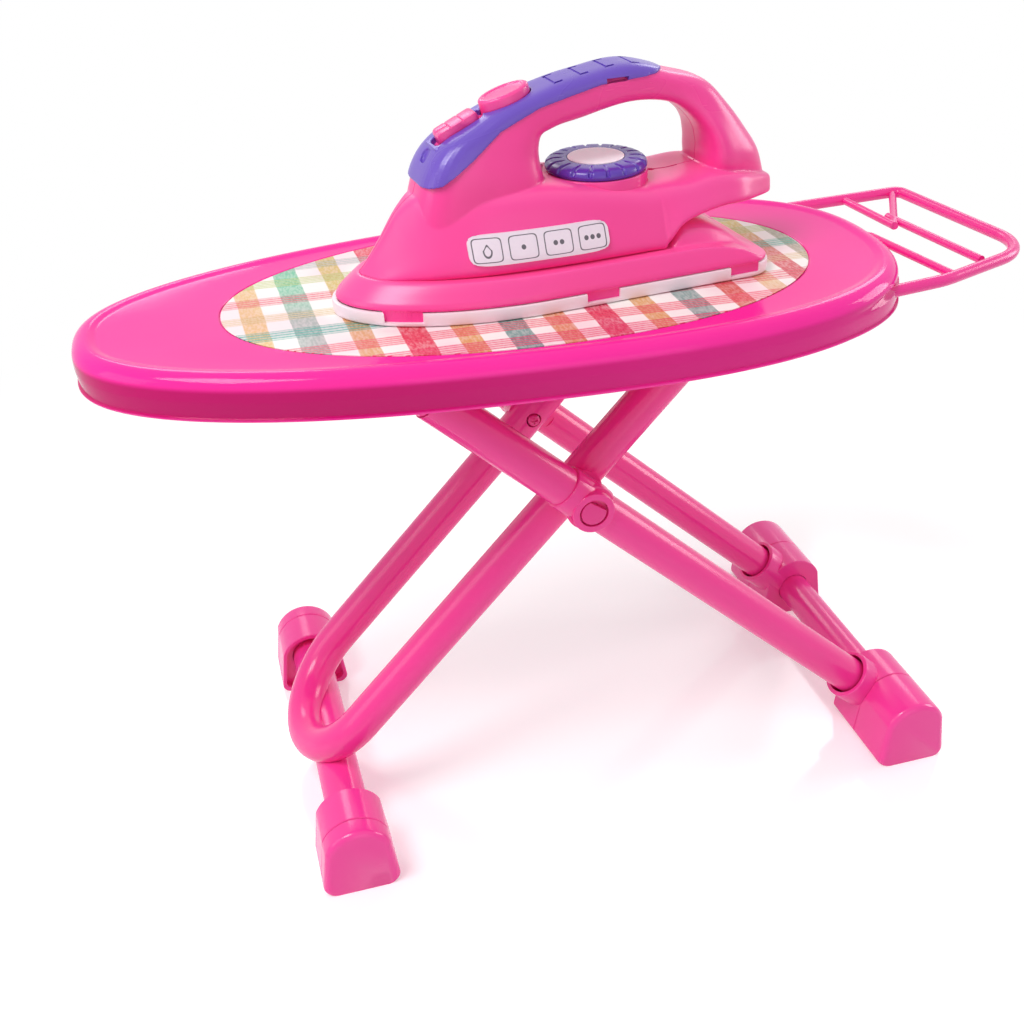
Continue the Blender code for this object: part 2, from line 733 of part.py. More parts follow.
def hinge_spacer(name, side, material):
    """Bush on the shaft between the channel's flange and the leg's eye."""
    reach = Vector((0, side * OVERRUN, 0))
    start = HINGE + Vector((0, side * (CHANNEL_HALF_WIDTH + TOUCH_GAP), 0))
    end = HINGE + Vector((0, side * (INNER_TUBE_Y - EYE_WIDTH / 2 - TOUCH_GAP), 0))
    bush = rod(name, start, end, SHAFT_RADIUS + BUSH_WALL, material)
    return cut(bush, rod("bore", start - reach, end + reach, SHAFT_RADIUS + TOUCH_GAP, material))


def build_board(pink, inlay_card, metal):
    shell = loft("board_top_shell", board_shell_rings(), pink)
    join(shell, *deck_ribs(pink))
    cut(shell, rack_body("holes", TOUCH_GAP, pink))
    cut(shell, *[channel_screw("pilot", place, TOUCH_GAP, pink) for place in screw_places()])
    inlay = inlay_outline()
    loft("cover_inlay", [at_height(inlay, DECK_Z - INLAY_THICKNESS), at_height(inlay, DECK_Z)],
         inlay_card)
    rack_body("iron_rack", 0.0, pink)
    rack_bracket(pink)
    leg_channel(metal)
    for number, place in enumerate(screw_places(), start=1):
        channel_screw("channel_screw_" + str(number), place, 0.0, metal)
    shaft_reach = Vector((0, INNER_TUBE_Y + EYE_WIDTH / 2 + TOUCH_GAP, 0))
    rod("inner_leg_hinge_shaft", HINGE - shaft_reach, HINGE + shaft_reach, SHAFT_RADIUS, metal)
    for side, word in SIDES.items():
        hinge_spacer("hinge_spacer_" + word, side, pink)


# Legs

def end_eye(name, centre, direction, side_y, width, bore_radius, material):
    """Eye on the end of a leg tube: a neck along the tube and a round knuckle across it.

    A knuckle narrower than the tube stays flush with the tube's inner side.
    """
    tube = centre + Vector((0, side_y, 0))
    middle = tube - Vector((0, math.copysign(EYE_WIDTH - width, side_y) / 2, 0))
    half = Vector((0, width / 2, 0))
    knuckle = rod(name, middle - half, middle + half, TUBE_RADIUS, material, TUBE_STEPS)
    neck = rod("neck", tube - direction * TUBE_RADIUS / 2, tube - direction * EYE_NECK,
               TUBE_RADIUS * 0.94, material)
    join(knuckle, neck)
    reach = Vector((0, width / 2 + OVERRUN, 0))
    return cut(knuckle, rod("bore", middle - reach, middle + reach, bore_radius, material))


def foot_outline():
    """D-shaped foot section in the side view: flat floor, flared flanks and a round top."""
    corner, half, dome = FOOT_CORNER_RADIUS, FOOT_HALF_WIDTH, FOOT_DOME_RADIUS
    points = arc(0, FOOT_HEIGHT - dome, dome, -8, 188, 10)
    points += arc(-half + corner, corner, corner, 185, 270, 2)
    points += arc(half - corner, corner, corner, 270, 355, 2)
    return points


def foot_ring(x, y, share=1.0, rise=1.0, lift=0.0):
    """The foot's section at one place along its bar, optionally smaller."""
    return [Vector((x + a * share, y, b * rise + lift)) for a, b in foot_outline()]


def foot_cap(name, x, side, inner_y, bar_radius, bar_z, material):
    """Closed end cap of a foot, rounded round its end face and bored for the foot bar."""
    rounding = FOOT_END_ROUNDING
    rings = [foot_ring(x, side * (inner_y + TOUCH_GAP))]
    for degrees in (0, 30, 60, 90):
        angle = math.radians(degrees)
        y = FOOT_END_Y - rounding + rounding * math.sin(angle)
        inset = rounding * (1 - math.cos(angle))
        rings.append(foot_ring(x, side * y, 1 - inset / FOOT_HALF_WIDTH, 1 - inset / FOOT_HEIGHT))
    cap = loft(name, rings, material)
    bar_end = FOOT_END_Y - BAR_INSET + TOUCH_GAP
    return cut(cap, rod("bore", Vector((x, side * (inner_y - OVERRUN), bar_z)),
                        Vector((x, side * bar_end, bar_z)), bar_radius + TOUCH_GAP, material,
                        TUBE_STEPS))


def inner_foot_sleeve(name, side, material):
    """Cup-shaped sleeve on the inner foot bar, open towards the middle of the board."""
    x = INNER_FOOT_X
    inner, outer = side * INNER_SLEEVE_Y, side * INNER_CAP_Y
    sleeve = loft(name, [foot_ring(x, inner), foot_ring(x, outer)], material)
    pocket_start = inner - side * OVERRUN
    share = 1 - FOOT_WALL / FOOT_HALF_WIDTH
    rise = 1 - 2 * FOOT_WALL / FOOT_HEIGHT
    pocket = loft("pocket", [foot_ring(x, y, share, rise, FOOT_WALL)
                             for y in (pocket_start, inner + side * FOOT_POCKET)], material)
    bore = rod("bore", Vector((x, pocket_start, INNER_BAR_Z)),
               Vector((x, outer + side * OVERRUN, INNER_BAR_Z)),
               INNER_BAR_RADIUS + TOUCH_GAP, material, TUBE_STEPS)
    return cut(sleeve, pocket, bore)


def inner_frame_path():
    """Centre line of the U-bent tube, from the near eye round the foot to the far eye."""
    bend = HINGE - INNER_DIRECTION * ((HINGE_Z - BEND_START_Z) / INNER_DIRECTION.z)
    top = HINGE - INNER_DIRECTION * (EYE_NECK + TOUCH_GAP)
    path = [top + Vector((0, -INNER_TUBE_Y, 0))]
    for i in range(9):
        angle = math.radians(-90 + 180 * i / 8)
        across = Vector((0, math.sin(angle) * INNER_TUBE_Y, 0))
        path.append(bend + across - INNER_DIRECTION * (math.cos(angle) * INNER_TUBE_Y))
    path.append(top + Vector((0, INNER_TUBE_Y, 0)))
    return path


def pivot_rod(name, side, start, end, radius, material, sides=TUBE_STEPS):
    """A rod along the scissor axis between two distances from the middle plane."""
    return rod(name, PIVOT + Vector((0, side * start, 0)),
               PIVOT + Vector((0, side * end, 0)), radius, material, sides)


def inner_leg_frame(material):
    frame = sweep("inner_leg_frame", inner_frame_path(), TUBE_RADIUS, material, TUBE_STEPS)
    boss_face = INNER_TUBE_Y + TUBE_RADIUS + TOUCH_GAP / 3
    for side in SIDES:
        join(frame, pivot_rod("boss", side, INNER_TUBE_Y, boss_face, PIVOT_BOSS_RADIUS, material))
    for side in SIDES:
        bore_start = INNER_TUBE_Y - TUBE_RADIUS - OVERRUN
        cut(frame, pivot_rod("bore", side, bore_start, boss_face + OVERRUN,
                             PIN_RADIUS + TOUCH_GAP, material, ROUND_STEPS))
    reach = Vector((0, INNER_TUBE_Y * 2, 0))
    centre = Vector((INNER_FOOT_X, 0, INNER_BAR_Z))
    return cut(frame, rod("saddle", centre - reach, centre + reach,
                          INNER_BAR_RADIUS + TOUCH_GAP, material, TUBE_STEPS),
               foot_screw("pilot", TOUCH_GAP, material))


def foot_screw(name, grow, material):
    """Screw through the foot bar into the bend of the tube that rests on it."""
    centre = Vector((INNER_FOOT_X, 0, INNER_BAR_Z))
    bend = HINGE - INNER_DIRECTION * ((HINGE_Z - BEND_START_Z) / INNER_DIRECTION.z + INNER_TUBE_Y)
    axis = (bend - centre).normalized()
    head_face = centre - axis * (INNER_BAR_RADIUS - SCREW_HEAD_HEIGHT)
    return screw(name, head_face, axis, FOOT_SCREW_LENGTH, material, grow)


def pivot_pin(name, side, material):
    """Pin with a flatted head in the hub; its shank ends inside the inner tube."""
    head_base = HUB_FACE_Y - HUB_RECESS_DEPTH + TOUCH_GAP
    shank_end = INNER_TUBE_Y - TUBE_RADIUS / 2
    pin = pivot_rod(name, side, head_base, head_base + PIN_HEAD_HEIGHT, PIN_HEAD_RADIUS, material)
    flat = PIN_HEAD_RADIUS * PIN_FLAT_SHARE
    lean = Vector((math.sin(math.radians(35)), 0, math.cos(math.radians(35))))
    sideways = Vector((lean.z, 0, -lean.x))
    centre = PIVOT + Vector((0, side * (head_base - OVERRUN), 0)) + lean * flat
    big = PIN_HEAD_RADIUS * 2
    outline = [sideways * -big, sideways * big, sideways * big + lean * big, sideways * -big + lean * big]
    push = Vector((0, side * (PIN_HEAD_HEIGHT + 2 * OVERRUN), 0))
    cut(pin, prism("flat", outline, centre, push, material))
    join(pin, pivot_rod("shank", side, shank_end, head_base + PIN_HEAD_HEIGHT / 2, PIN_RADIUS, material,
                        ROUND_STEPS))
    pilot_end = shank_end + PIVOT_SCREW_LENGTH
    return cut(pin, pivot_rod("pilot", side, shank_end - OVERRUN, pilot_end,
                              SCREW_SHANK_RADIUS + TOUCH_GAP, material, 8))


def pivot_screw(name, side, material):
    """Screw that holds the pin from the inner side of the inner tube."""
    head_y = INNER_TUBE_Y - TUBE_RADIUS / 2 - TOUCH_GAP - SCREW_HEAD_HEIGHT
    return screw(name, PIVOT + Vector((0, side * head_y, 0)), Vector((0, side, 0)),
                 PIVOT_SCREW_LENGTH, material)


def build_inner_leg(pink, foot_pink, metal):
    pieces = [inner_leg_frame(pink)]
    for side, word in SIDES.items():
        pieces.append(end_eye("inner_leg_eye_" + word, HINGE, INNER_DIRECTION, side * INNER_TUBE_Y,
                              EYE_WIDTH, SHAFT_RADIUS + TOUCH_GAP, pink))
        pieces.append(inner_foot_sleeve("inner_foot_sleeve_" + word, side, foot_pink))
        pieces.append(foot_cap("inner_foot_cap_" + word, INNER_FOOT_X, side, INNER_CAP_Y,
                               INNER_BAR_RADIUS, INNER_BAR_Z, foot_pink))
        pieces.append(pivot_pin("pivot_pin_" + word, side, pink))
        pieces.append(pivot_screw("pivot_screw_" + word, side, metal))
    bar_reach = Vector((0, FOOT_END_Y - BAR_INSET, 0))
    centre = Vector((INNER_FOOT_X, 0, INNER_BAR_Z))
    bar = rod("inner_foot_bar", centre - bar_reach, centre + bar_reach, INNER_BAR_RADIUS,
              foot_pink, TUBE_STEPS)
    pieces.append(cut(bar, foot_screw("hole", TOUCH_GAP, foot_pink)))
    pieces.append(foot_screw("inner_foot_screw", 0.0, metal))
    parent_to(axis_empty("inner_leg_axis", HINGE), *pieces)


def outer_tube(name, side, material):
    """Outer leg tube with the sleeve and stepped hub of the scissor pivot."""
    y = Vector((0, side * OUTER_TUBE_Y, 0))
    top = SLIDE_ROD - OUTER_DIRECTION * (EYE_NECK + TOUCH_GAP) + y
    foot = Vector((OUTER_FOOT_X, side * OUTER_TUBE_Y, OUTER_BAR_Z))
    along = (PIVOT - foot).dot(OUTER_DIRECTION)
    bottom = PIVOT + y - OUTER_DIRECTION * (along - SOCKET_SEAT)
    tube = rod(name, bottom, top, TUBE_RADIUS, material, TUBE_STEPS)
    sleeve = rod("sleeve", PIVOT + y - OUTER_DIRECTION * SLEEVE_FRONT,
                 PIVOT + y + OUTER_DIRECTION * SLEEVE_BACK, SLEEVE_RADIUS, material, TUBE_STEPS)
    step = pivot_rod("step", side, OUTER_TUBE_Y, OUTER_TUBE_Y + HUB_STEP_HEIGHT,
                     HUB_STEP_RADIUS, material, 16)
    hub = pivot_rod("hub", side, OUTER_TUBE_Y, HUB_FACE_Y, HUB_RADIUS, material, 16)
    join(tube, sleeve, step, hub)
    flat_y = INNER_TUBE_Y + TUBE_RADIUS + TOUCH_GAP * 2 + WASHER_THICKNESS
    face = pivot_rod("face", side, INNER_TUBE_Y, flat_y, SLEEVE_BACK + TUBE_RADIUS / 2, material)
    bore = pivot_rod("bore", side, INNER_TUBE_Y, HUB_FACE_Y + OVERRUN, PIN_RADIUS + TOUCH_GAP,
                     material, ROUND_STEPS)
    recess = pivot_rod("recess", side, HUB_FACE_Y - HUB_RECESS_DEPTH, HUB_FACE_Y + OVERRUN,
                       HUB_RECESS_RADIUS, material)
    return cut(tube, face, bore, recess)


def socket_rod(name, side, start, end, radius, material):
    """A rod on the outer tube's axis between two distances from the foot bar."""
    foot = Vector((OUTER_FOOT_X, side * OUTER_TUBE_Y, OUTER_BAR_Z))
    along = (PIVOT - foot).dot(OUTER_DIRECTION)
    base = PIVOT + Vector((0, side * OUTER_TUBE_Y, 0)) - OUTER_DIRECTION * along
    return rod(name, base + OUTER_DIRECTION * start, base + OUTER_DIRECTION * end, radius, material,
               TUBE_STEPS)


def outer_coupler(name, side, material):
    """Foot coupler: a D-shaped block with the slanted socket that takes the leg tube."""
    x = OUTER_FOOT_X
    inner, outer = side * OUTER_COUPLER_Y, side * OUTER_CAP_Y
    coupler = loft(name, [foot_ring(x, inner), foot_ring(x, outer)], material)
    join(coupler, socket_rod("socket", side, SOCKET_SEAT / 4, SOCKET_REACH, SOCKET_RADIUS, material))
    bore = socket_rod("bore", side, SOCKET_SEAT - TOUCH_GAP, SOCKET_REACH + OVERRUN,
                      SOCKET_BORE_RADIUS, material)
    bar_bore = rod("bar_bore", Vector((x, inner - side * OVERRUN, OUTER_BAR_Z)),
                   Vector((x, outer + side * OVERRUN, OUTER_BAR_Z)),
                   OUTER_BAR_RADIUS + TOUCH_GAP, material, TUBE_STEPS)
    return cut(coupler, bore, bar_bore)


def pivot_washer(name, side, material):
    start = INNER_TUBE_Y + TUBE_RADIUS + TOUCH_GAP * 4 / 3
    end = start + WASHER_THICKNESS - TOUCH_GAP
    washer = pivot_rod(name, side, start, end, WASHER_RADIUS, material)
    return cut(washer, pivot_rod("bore", side, start - OVERRUN, end + OVERRUN,
                                 PIN_RADIUS + TOUCH_GAP, material, ROUND_STEPS))


def build_outer_leg(pink, foot_pink, metal):
    pieces = []
    for side, word in SIDES.items():
        pieces.append(outer_tube("outer_leg_tube_" + word, side, pink))
        pieces.append(end_eye("outer_leg_eye_" + word, SLIDE_ROD, OUTER_DIRECTION,
                              side * OUTER_TUBE_Y, OUTER_EYE_WIDTH,
                              SLIDE_ROD_RADIUS + TOUCH_GAP, pink))
        pieces.append(outer_coupler("outer_foot_coupler_" + word, side, foot_pink))
        cap = foot_cap("outer_foot_cap_" + word, OUTER_FOOT_X, side, OUTER_CAP_Y,
                       OUTER_BAR_RADIUS, OUTER_BAR_Z, foot_pink)
        pieces.append(cut(cap, socket_rod("notch", side, -TUBE_RADIUS / 2, SOCKET_REACH + OVERRUN,
                                          SOCKET_RADIUS + TOUCH_GAP, foot_pink)))
        pieces.append(pivot_washer("pivot_washer_" + word, side, metal))
    rod_reach = Vector((0, OUTER_TUBE_Y - EYE_WIDTH / 2 + OUTER_EYE_WIDTH, 0))
    pieces.append(rod("outer_leg_top_rod", SLIDE_ROD - rod_reach, SLIDE_ROD + rod_reach,
                      SLIDE_ROD_RADIUS, metal))
    bar_reach = Vector((0, FOOT_END_Y - BAR_INSET, 0))
    centre = Vector((OUTER_FOOT_X, 0, OUTER_BAR_Z))
    pieces.append(rod("outer_foot_bar", centre - bar_reach, centre + bar_reach, OUTER_BAR_RADIUS,
                      foot_pink, TUBE_STEPS))
    parent_to(axis_empty("outer_leg_axis", PIVOT), *pieces)


# Iron

def iron_outline(nose, heel, half_width, corner):
    """Outline with a pointed round nose, straight sides and a square heel with round corners."""
    side = []
    for i in range(25):
        share = 1 - math.cos(math.radians(90) * i / 24)
        across = half_width * (1 - (1 - share) ** 2) ** NOSE_POWER
        side.append((nose + IRON_LENGTH * NOSE_SHARE * share, across))
    side += arc(heel - corner, half_width - corner, corner, 90, 0, 6)
    far = [Vector((x, y, 0)) for x, y in reversed(side)]
    near = [Vector((x, -y, 0)) for x, y in side[1:]]
    return resample([Vector((heel, 0, 0))] + far + near, IRON_STEPS)


def sole_outline(inset=0.0):
    return iron_outline(inset, IRON_LENGTH - inset, IRON_HALF_WIDTH - inset, HEEL_CORNER - inset)


def sole_edge(x, inset):
    """Distance of the sole's edge from the middle line at one station."""
    share = min(x / (IRON_LENGTH * NOSE_SHARE), 1.0)
    return IRON_HALF_WIDTH * (1 - (1 - share) ** 2) ** NOSE_POWER - inset


def edge_strip(name, shares, side, insets, heights, material):
    """A strip that follows the sole's edge between two stations, insets and heights."""
    start, end = IRON_LENGTH * shares[0], IRON_LENGTH * shares[1]
    stations = [start + (end - start) * i / 4 for i in range(5)]
    outline = [Vector((x, side * sole_edge(x, insets[0]), 0)) for x in stations]
    outline += [Vector((x, side * sole_edge(x, insets[1]), 0)) for x in reversed(stations)]
    return prism(name, outline, Vector((0, 0, heights[0])), Vector((0, 0, heights[1] - heights[0])),
                 material)


def soleplate(material):
    """Shallow tray with windows in its rim for the hooks of the skirt."""
    rings = [at_height(sole_outline(SOLE_BEVEL), 0),
             at_height(sole_outline(), SOLE_BEVEL),
             at_height(sole_outline(), SOLE_HEIGHT - SOLE_BEVEL / 2),
             at_height(sole_outline(SOLE_BEVEL / 2), SOLE_HEIGHT),
             at_height(sole_outline(SOLE_WALL), SOLE_HEIGHT),
             at_height(sole_outline(SOLE_WALL), SOLE_FLOOR)]
    sole = loft("iron_soleplate", rings, material)
    heights = (HOOK_WINDOW_LOW + SOLE_BEVEL / 2, HOOK_WINDOW_HIGH)
    windows = [edge_strip("window", shares, side, (-OVERRUN, SOLE_WALL + TOUCH_GAP * 2), heights, material)
               for shares in HOOK_SHARES for side in SIDES]
    return cut(sole, *windows)


def rear_wedge(drop, material):
    """Everything above the skirt's sloping rear, in the side view."""
    edge = [Vector((IRON_LENGTH * x, 0, IRON_HEIGHT * z - drop)) for x, z in REAR_EDGE_SHARES]
    above = Vector((0, 0, BASE_SKIRT_TOP))
    outline = edge + [edge[-1] + above, edge[0] + above]
    width = Vector((0, IRON_HALF_WIDTH * 3, 0))
    return prism("wedge", outline, -width / 2, width, material)


def base_skirt(material):
    """Skirt over the soleplate, with a raised heel and six hooks that reach into the tray."""
    low = SOLE_HEIGHT + TOUCH_GAP
    middle = low + (BASE_SKIRT_TOP - low) * 0.4
    brow = BASE_SKIRT_TOP - SOLE_BEVEL
    wall = SOLE_WALL * 2.4
    shoulder = iron_outline(BASE_SKIRT_NOSE * 0.48, IRON_LENGTH - SOLE_WALL,
                            IRON_HALF_WIDTH - SOLE_WALL, HEEL_CORNER)
    top = iron_outline(BASE_SKIRT_NOSE * 0.9, IRON_LENGTH - BASE_SKIRT_INSET * 0.8,
                       IRON_HALF_WIDTH - BASE_SKIRT_INSET * 0.8, HEEL_CORNER)
    rim = iron_outline(BASE_SKIRT_NOSE, IRON_LENGTH - BASE_SKIRT_INSET,
                       IRON_HALF_WIDTH - BASE_SKIRT_INSET, HEEL_CORNER)
    ceiling = iron_outline(BASE_SKIRT_NOSE + SOLE_WALL, IRON_LENGTH - BASE_SKIRT_INSET - SOLE_WALL,
                           IRON_HALF_WIDTH - BASE_SKIRT_INSET - SOLE_WALL, HEEL_CORNER)
    rings = [at_height(sole_outline(SOLE_BEVEL / 2), low), at_height(shoulder, middle),
             at_height(top, brow), at_height(rim, BASE_SKIRT_TOP)]
    skirt = cut(loft("iron_base_skirt", rings, material), rear_wedge(0.0, material))
    join(skirt, loft("heel", section_rings(HEEL_SHARES, 0.0, 10), material))
    hollow = [at_height(sole_outline(wall), low - OVERRUN), at_height(sole_outline(wall), low),
              at_height(ceiling, BASE_SKIRT_TOP - SOLE_WALL)]
    cut(skirt, cut(loft("hollow", hollow, material), rear_wedge(SOLE_WALL, material)))
    inset = SOLE_WALL * 1.9
    heights = (SOLE_FLOOR + TOUCH_GAP * 2, low + SOLE_WALL / 2)
    hooks = [edge_strip("hook", shares, side, (inset, inset + HOOK_THICKNESS), heights, material)
             for shares in HOOK_SHARES for side in SIDES]
    join(skirt, *hooks)
    return cut(skirt, *[base_screw("hole", place, TOUCH_GAP, material) for place in base_screw_places()])


def section_rings(shares, inset, points=16):
    """Sections across the iron from a table of shares, narrower at the roof than at the floor."""
    rings = []
    for station, floor, roof, floor_half, roof_half in shares:
        low, high = IRON_HEIGHT * floor + inset, IRON_HEIGHT * roof - inset
        if high - low < BODY_WALL and inset > 0:
            continue
        ring = []
        for k in range(points):
            a = math.tau * k / points
            up = signed_power(math.sin(a), 2 / HULL_POWER)
            half = floor_half + (roof_half - floor_half) * (up + 1) / 2
            across = signed_power(math.cos(a), 2 / HULL_POWER)
            width = max(IRON_HALF_WIDTH * half - inset, BODY_WALL / 4)
            ring.append(Vector((IRON_LENGTH * station, across * width,
                                (low + high) / 2 + up * (high - low) / 2)))
        rings.append(ring)
    return rings[1:-1] if inset > 0 else rings


def hull_rings(inset, points=16, every=1):
    """Sections of the lower body."""
    return section_rings(HULL_SHARES[::every], inset, points)


def grip_rows():
    """Stations of the handle in metres: centre, half thickness, angle and two half widths."""
    return [(Vector((IRON_LENGTH * x, 0, IRON_HEIGHT * z)), IRON_LENGTH * thick, math.radians(turn),
             IRON_HALF_WIDTH * outside, IRON_HALF_WIDTH * inside)
            for x, z, thick, turn, outside, inside in smooth_rows(GRIP_SHARES, 2)]


def grip_rings(grow, points=12, every=1):
    """Sections of the handle square to its path, from the front of the body to its heel."""
    rings = []
    for centre, thick, turn, outside, inside in grip_rows()[::every]:
        outward = Vector((-math.sin(turn), 0, math.cos(turn)))
        ring = []
        for k in range(points):
            a = math.tau * k / points
            out = signed_power(math.sin(a), 2 / GRIP_POWER)
            wide = inside + (outside - inside) * (out + 1) / 2 + grow
            across = signed_power(math.cos(a), 2 / GRIP_POWER) * wide
            ring.append(centre + outward * (out * (thick + grow)) + Vector((0, across, 0)))
        rings.append(ring)
    return rings


def grip_crest(share, grow=0.0):
    """Point on the handle's crest at a share of the length, with its tangent and normal."""
    crest = [centre + Vector((-math.sin(turn), 0, math.cos(turn))) * (thick + grow)
             for centre, thick, turn, _, _ in grip_rows()]
    for before, after in zip(crest, crest[1:]):
        if before.x <= IRON_LENGTH * share < after.x:
            along = (IRON_LENGTH * share - before.x) / (after.x - before.x)
            tangent = (after - before).normalized()
            return before.lerp(after, along), tangent, Vector((-tangent.z, 0, tangent.x))
    raise ValueError("no crest at this share")


def cover_region(drop, material):
    """Everything above the cover's lower edge, in the side view."""
    edge = [Vector((IRON_LENGTH * x, 0, IRON_HEIGHT * z - drop)) for x, z in COVER_EDGE_SHARES]
    edge[-1].x += drop
    above = Vector((0, 0, IRON_HEIGHT / 4))
    outline = edge + [edge[-1] + above, Vector((edge[0].x, 0, edge[-1].z)) + above]
    width = Vector((0, IRON_HALF_WIDTH * 2, 0))
    return prism("region", outline, -width / 2, width, material)


def dial_place():
    return Vector((IRON_LENGTH * DIAL_SHARE, 0, DIAL_Z))


def body_screw_places():
    """Station, height and head depth of the three screws from the far side."""
    return [(0.30, 0.33, 0.58), (0.945, 0.365, 0.44), (0.735, 0.85, 0.19)]


def body_screw(name, place, grow, material):
    head_face = Vector((IRON_LENGTH * place[0], IRON_HALF_WIDTH * place[2], IRON_HEIGHT * place[1]))
    length = head_face.y + SCREW_BITE * 2 if place[2] > 0.3 else head_face.y + SCREW_BITE
    return screw(name, head_face, Vector((0, -1, 0)), length, material, grow)


def base_screw_places():
    return [Vector((IRON_LENGTH * share, side * IRON_HALF_WIDTH * 0.4,
                    BASE_SKIRT_TOP - SOLE_WALL - SCREW_HEAD_HEIGHT - TOUCH_GAP * 2))
            for share, side in ((0.345, -1), (0.70, 1))]


def base_screw(name, place, grow, material):
    return screw(name, place, Vector((0, 0, 1)), SCREW_HEAD_HEIGHT + SOLE_WALL * 3, material, grow)


def button_oval(grow, out, inset=0.0):
    """The spray button's outline at a distance from the crest along its normal."""
    crest, tangent, normal = grip_crest(BUTTON_SHARE)
    half_length, half_width = BUTTON_LENGTH / 2 + grow - inset, BUTTON_WIDTH / 2 + grow - inset
    points = []
    for k in range(20):
        a = math.tau * k / 20
        across = Vector((0, half_width * math.sin(a), 0))
        points.append(crest + normal * out + tangent * (half_length * math.cos(a)) + across)
    return points


def crest_rod(name, share, start, end, radius, material, sides=ROUND_STEPS):
    crest, _, normal = grip_crest(share)
    return rod(name, crest + normal * start, crest + normal * end, radius, material, sides)


def crest_block(name, share, length, width, low, high, material):
    """A block on the crest, square to it, between two distances along its normal."""
    crest, tangent, normal = grip_crest(share)
    along, across = tangent * (length / 2), Vector((0, width / 2, 0))
    outline = [-along - across, along - across, along + across, -along + across]
    return prism(name, outline, crest + normal * low, normal * (high - low), material)


def body_cavity(material):
    """Hollow of the body, with the screw bosses and the button's tower left standing in it."""
    hull = loft("cavity", hull_rings(BODY_WALL, 8, 2), material)
    grip = loft("cavity", grip_rings(-BODY_WALL - COVER_THICKNESS, 8, 2), material)
    join(hull, grip)
    reach = Vector((0, IRON_HALF_WIDTH, 0))
    posts = []
    for x, z, _ in body_screw_places():
        middle = Vector((IRON_LENGTH * x, 0, IRON_HEIGHT * z))
        posts.append(rod("post", middle - reach, middle + reach, BOSS_RADIUS, material, SCREW_STEPS))
    for place in base_screw_places():
        up = Vector((0, 0, SCREW_BITE * 3 + SOLE_WALL * 2))
        posts.append(rod("post", place, place + up, BOSS_RADIUS, material, SCREW_STEPS))
    dial = dial_place()
    depth = Vector((0, 0, DIAL_STEM_LENGTH + BODY_WALL))
    posts.append(rod("post", dial - depth, dial, DIAL_STEM_RADIUS + BODY_WALL, material))
    floor = -BUTTON_SKIRT - BUTTON_TRAVEL - SPRING_LENGTH - BODY_WALL * 2
    posts.append(crest_rod("post", BUTTON_SHARE, floor, 0, BUTTON_LENGTH / 2 + BODY_WALL, material))
    posts.append(crest_block("post", SWITCH_SHARE, SWITCH_LENGTH * 1.6, SWITCH_WIDTH * 2,
                             -SWITCH_WIDTH * 1.3, 0, material))
    return cut(hull, *posts)


def iron_body(near_name, far_name, material):
    """Handle and lower body as a hollow shell in two halves that meet on the middle plane."""
    body = loft(near_name, hull_rings(0.0), material)
    join(body, loft("grip", grip_rings(0.0), material))
    dial = dial_place()
    roof = dial - Vector((0, 0, TOUCH_GAP))
    join(body, rod("boss", roof - Vector((0, 0, DIAL_BOSS_DEPTH)), dial, DIAL_BOSS_RADIUS, material, 24))
    cut(body, rod("well", roof, roof + Vector((0, 0, DIAL_HEIGHT)), DIAL_RADIUS + RUN_GAP * 2, material, 24))
    cut(body, cover_region(TOUCH_GAP, material))
    join(body, loft("core", grip_rings(-COVER_THICKNESS - TOUCH_GAP), material))
    cut(body, body_cavity(material))
    stem_depth = Vector((0, 0, DIAL_STEM_LENGTH + TOUCH_GAP))
    cut(body, rod("bore", dial - stem_depth, dial + stem_depth, DIAL_STEM_RADIUS + TOUCH_GAP, material))
    pocket_floor = -BUTTON_SKIRT - BUTTON_TRAVEL - TOUCH_GAP
    spring_floor = pocket_floor - SPRING_LENGTH
    cut(body, loft("pocket", [button_oval(RUN_GAP, pocket_floor), button_oval(RUN_GAP, OVERRUN)], material),
        crest_rod("bore", BUTTON_SHARE, spring_floor, 0, SPRING_RADIUS + RUN_GAP * 2, material),
        crest_block("slot", SWITCH_SHARE, SWITCH_STEM + SWITCH_TRAVEL + RUN_GAP * 2,
                    SWITCH_STEM + RUN_GAP * 2, -SWITCH_WIDTH, 0, material),
        switch_well(TOUCH_GAP, material))
    cut(body, *[body_screw("hole", place, TOUCH_GAP, material) for place in body_screw_places()])
    cut(body, *[base_screw("hole", place, TOUCH_GAP, material) for place in base_screw_places()])
    far = body.copy()
    far.data = body.data.copy()
    far.name = far_name
    bpy.context.scene.collection.objects.link(far)
    reach, width = IRON_LENGTH * 2, IRON_HALF_WIDTH * 2
    for half, side in ((body, -1), (far, 1)):
        edges = sorted((side * TOUCH_GAP / 2, -side * width))
        side_block = block("side", Vector((-reach, edges[0], -reach)),
                           Vector((reach, edges[1], reach)), material)
        # The exact solver loses walls of this hollow shell at the long planar split.
        boolean(half, [side_block], 'DIFFERENCE', 'MANIFOLD')
    return body, far


def switch_well(grow, material):
    """The part of the cover that hangs down round the slide switch, as a solid block."""
    wall = COVER_THICKNESS + grow
    return crest_block("well", SWITCH_SHARE, SWITCH_LENGTH + SWITCH_TRAVEL + (RUN_GAP + wall) * 2,
                       SWITCH_WIDTH + (RUN_GAP + wall) * 2, -SWITCH_DEPTH - wall, OVERRUN * 2, material)


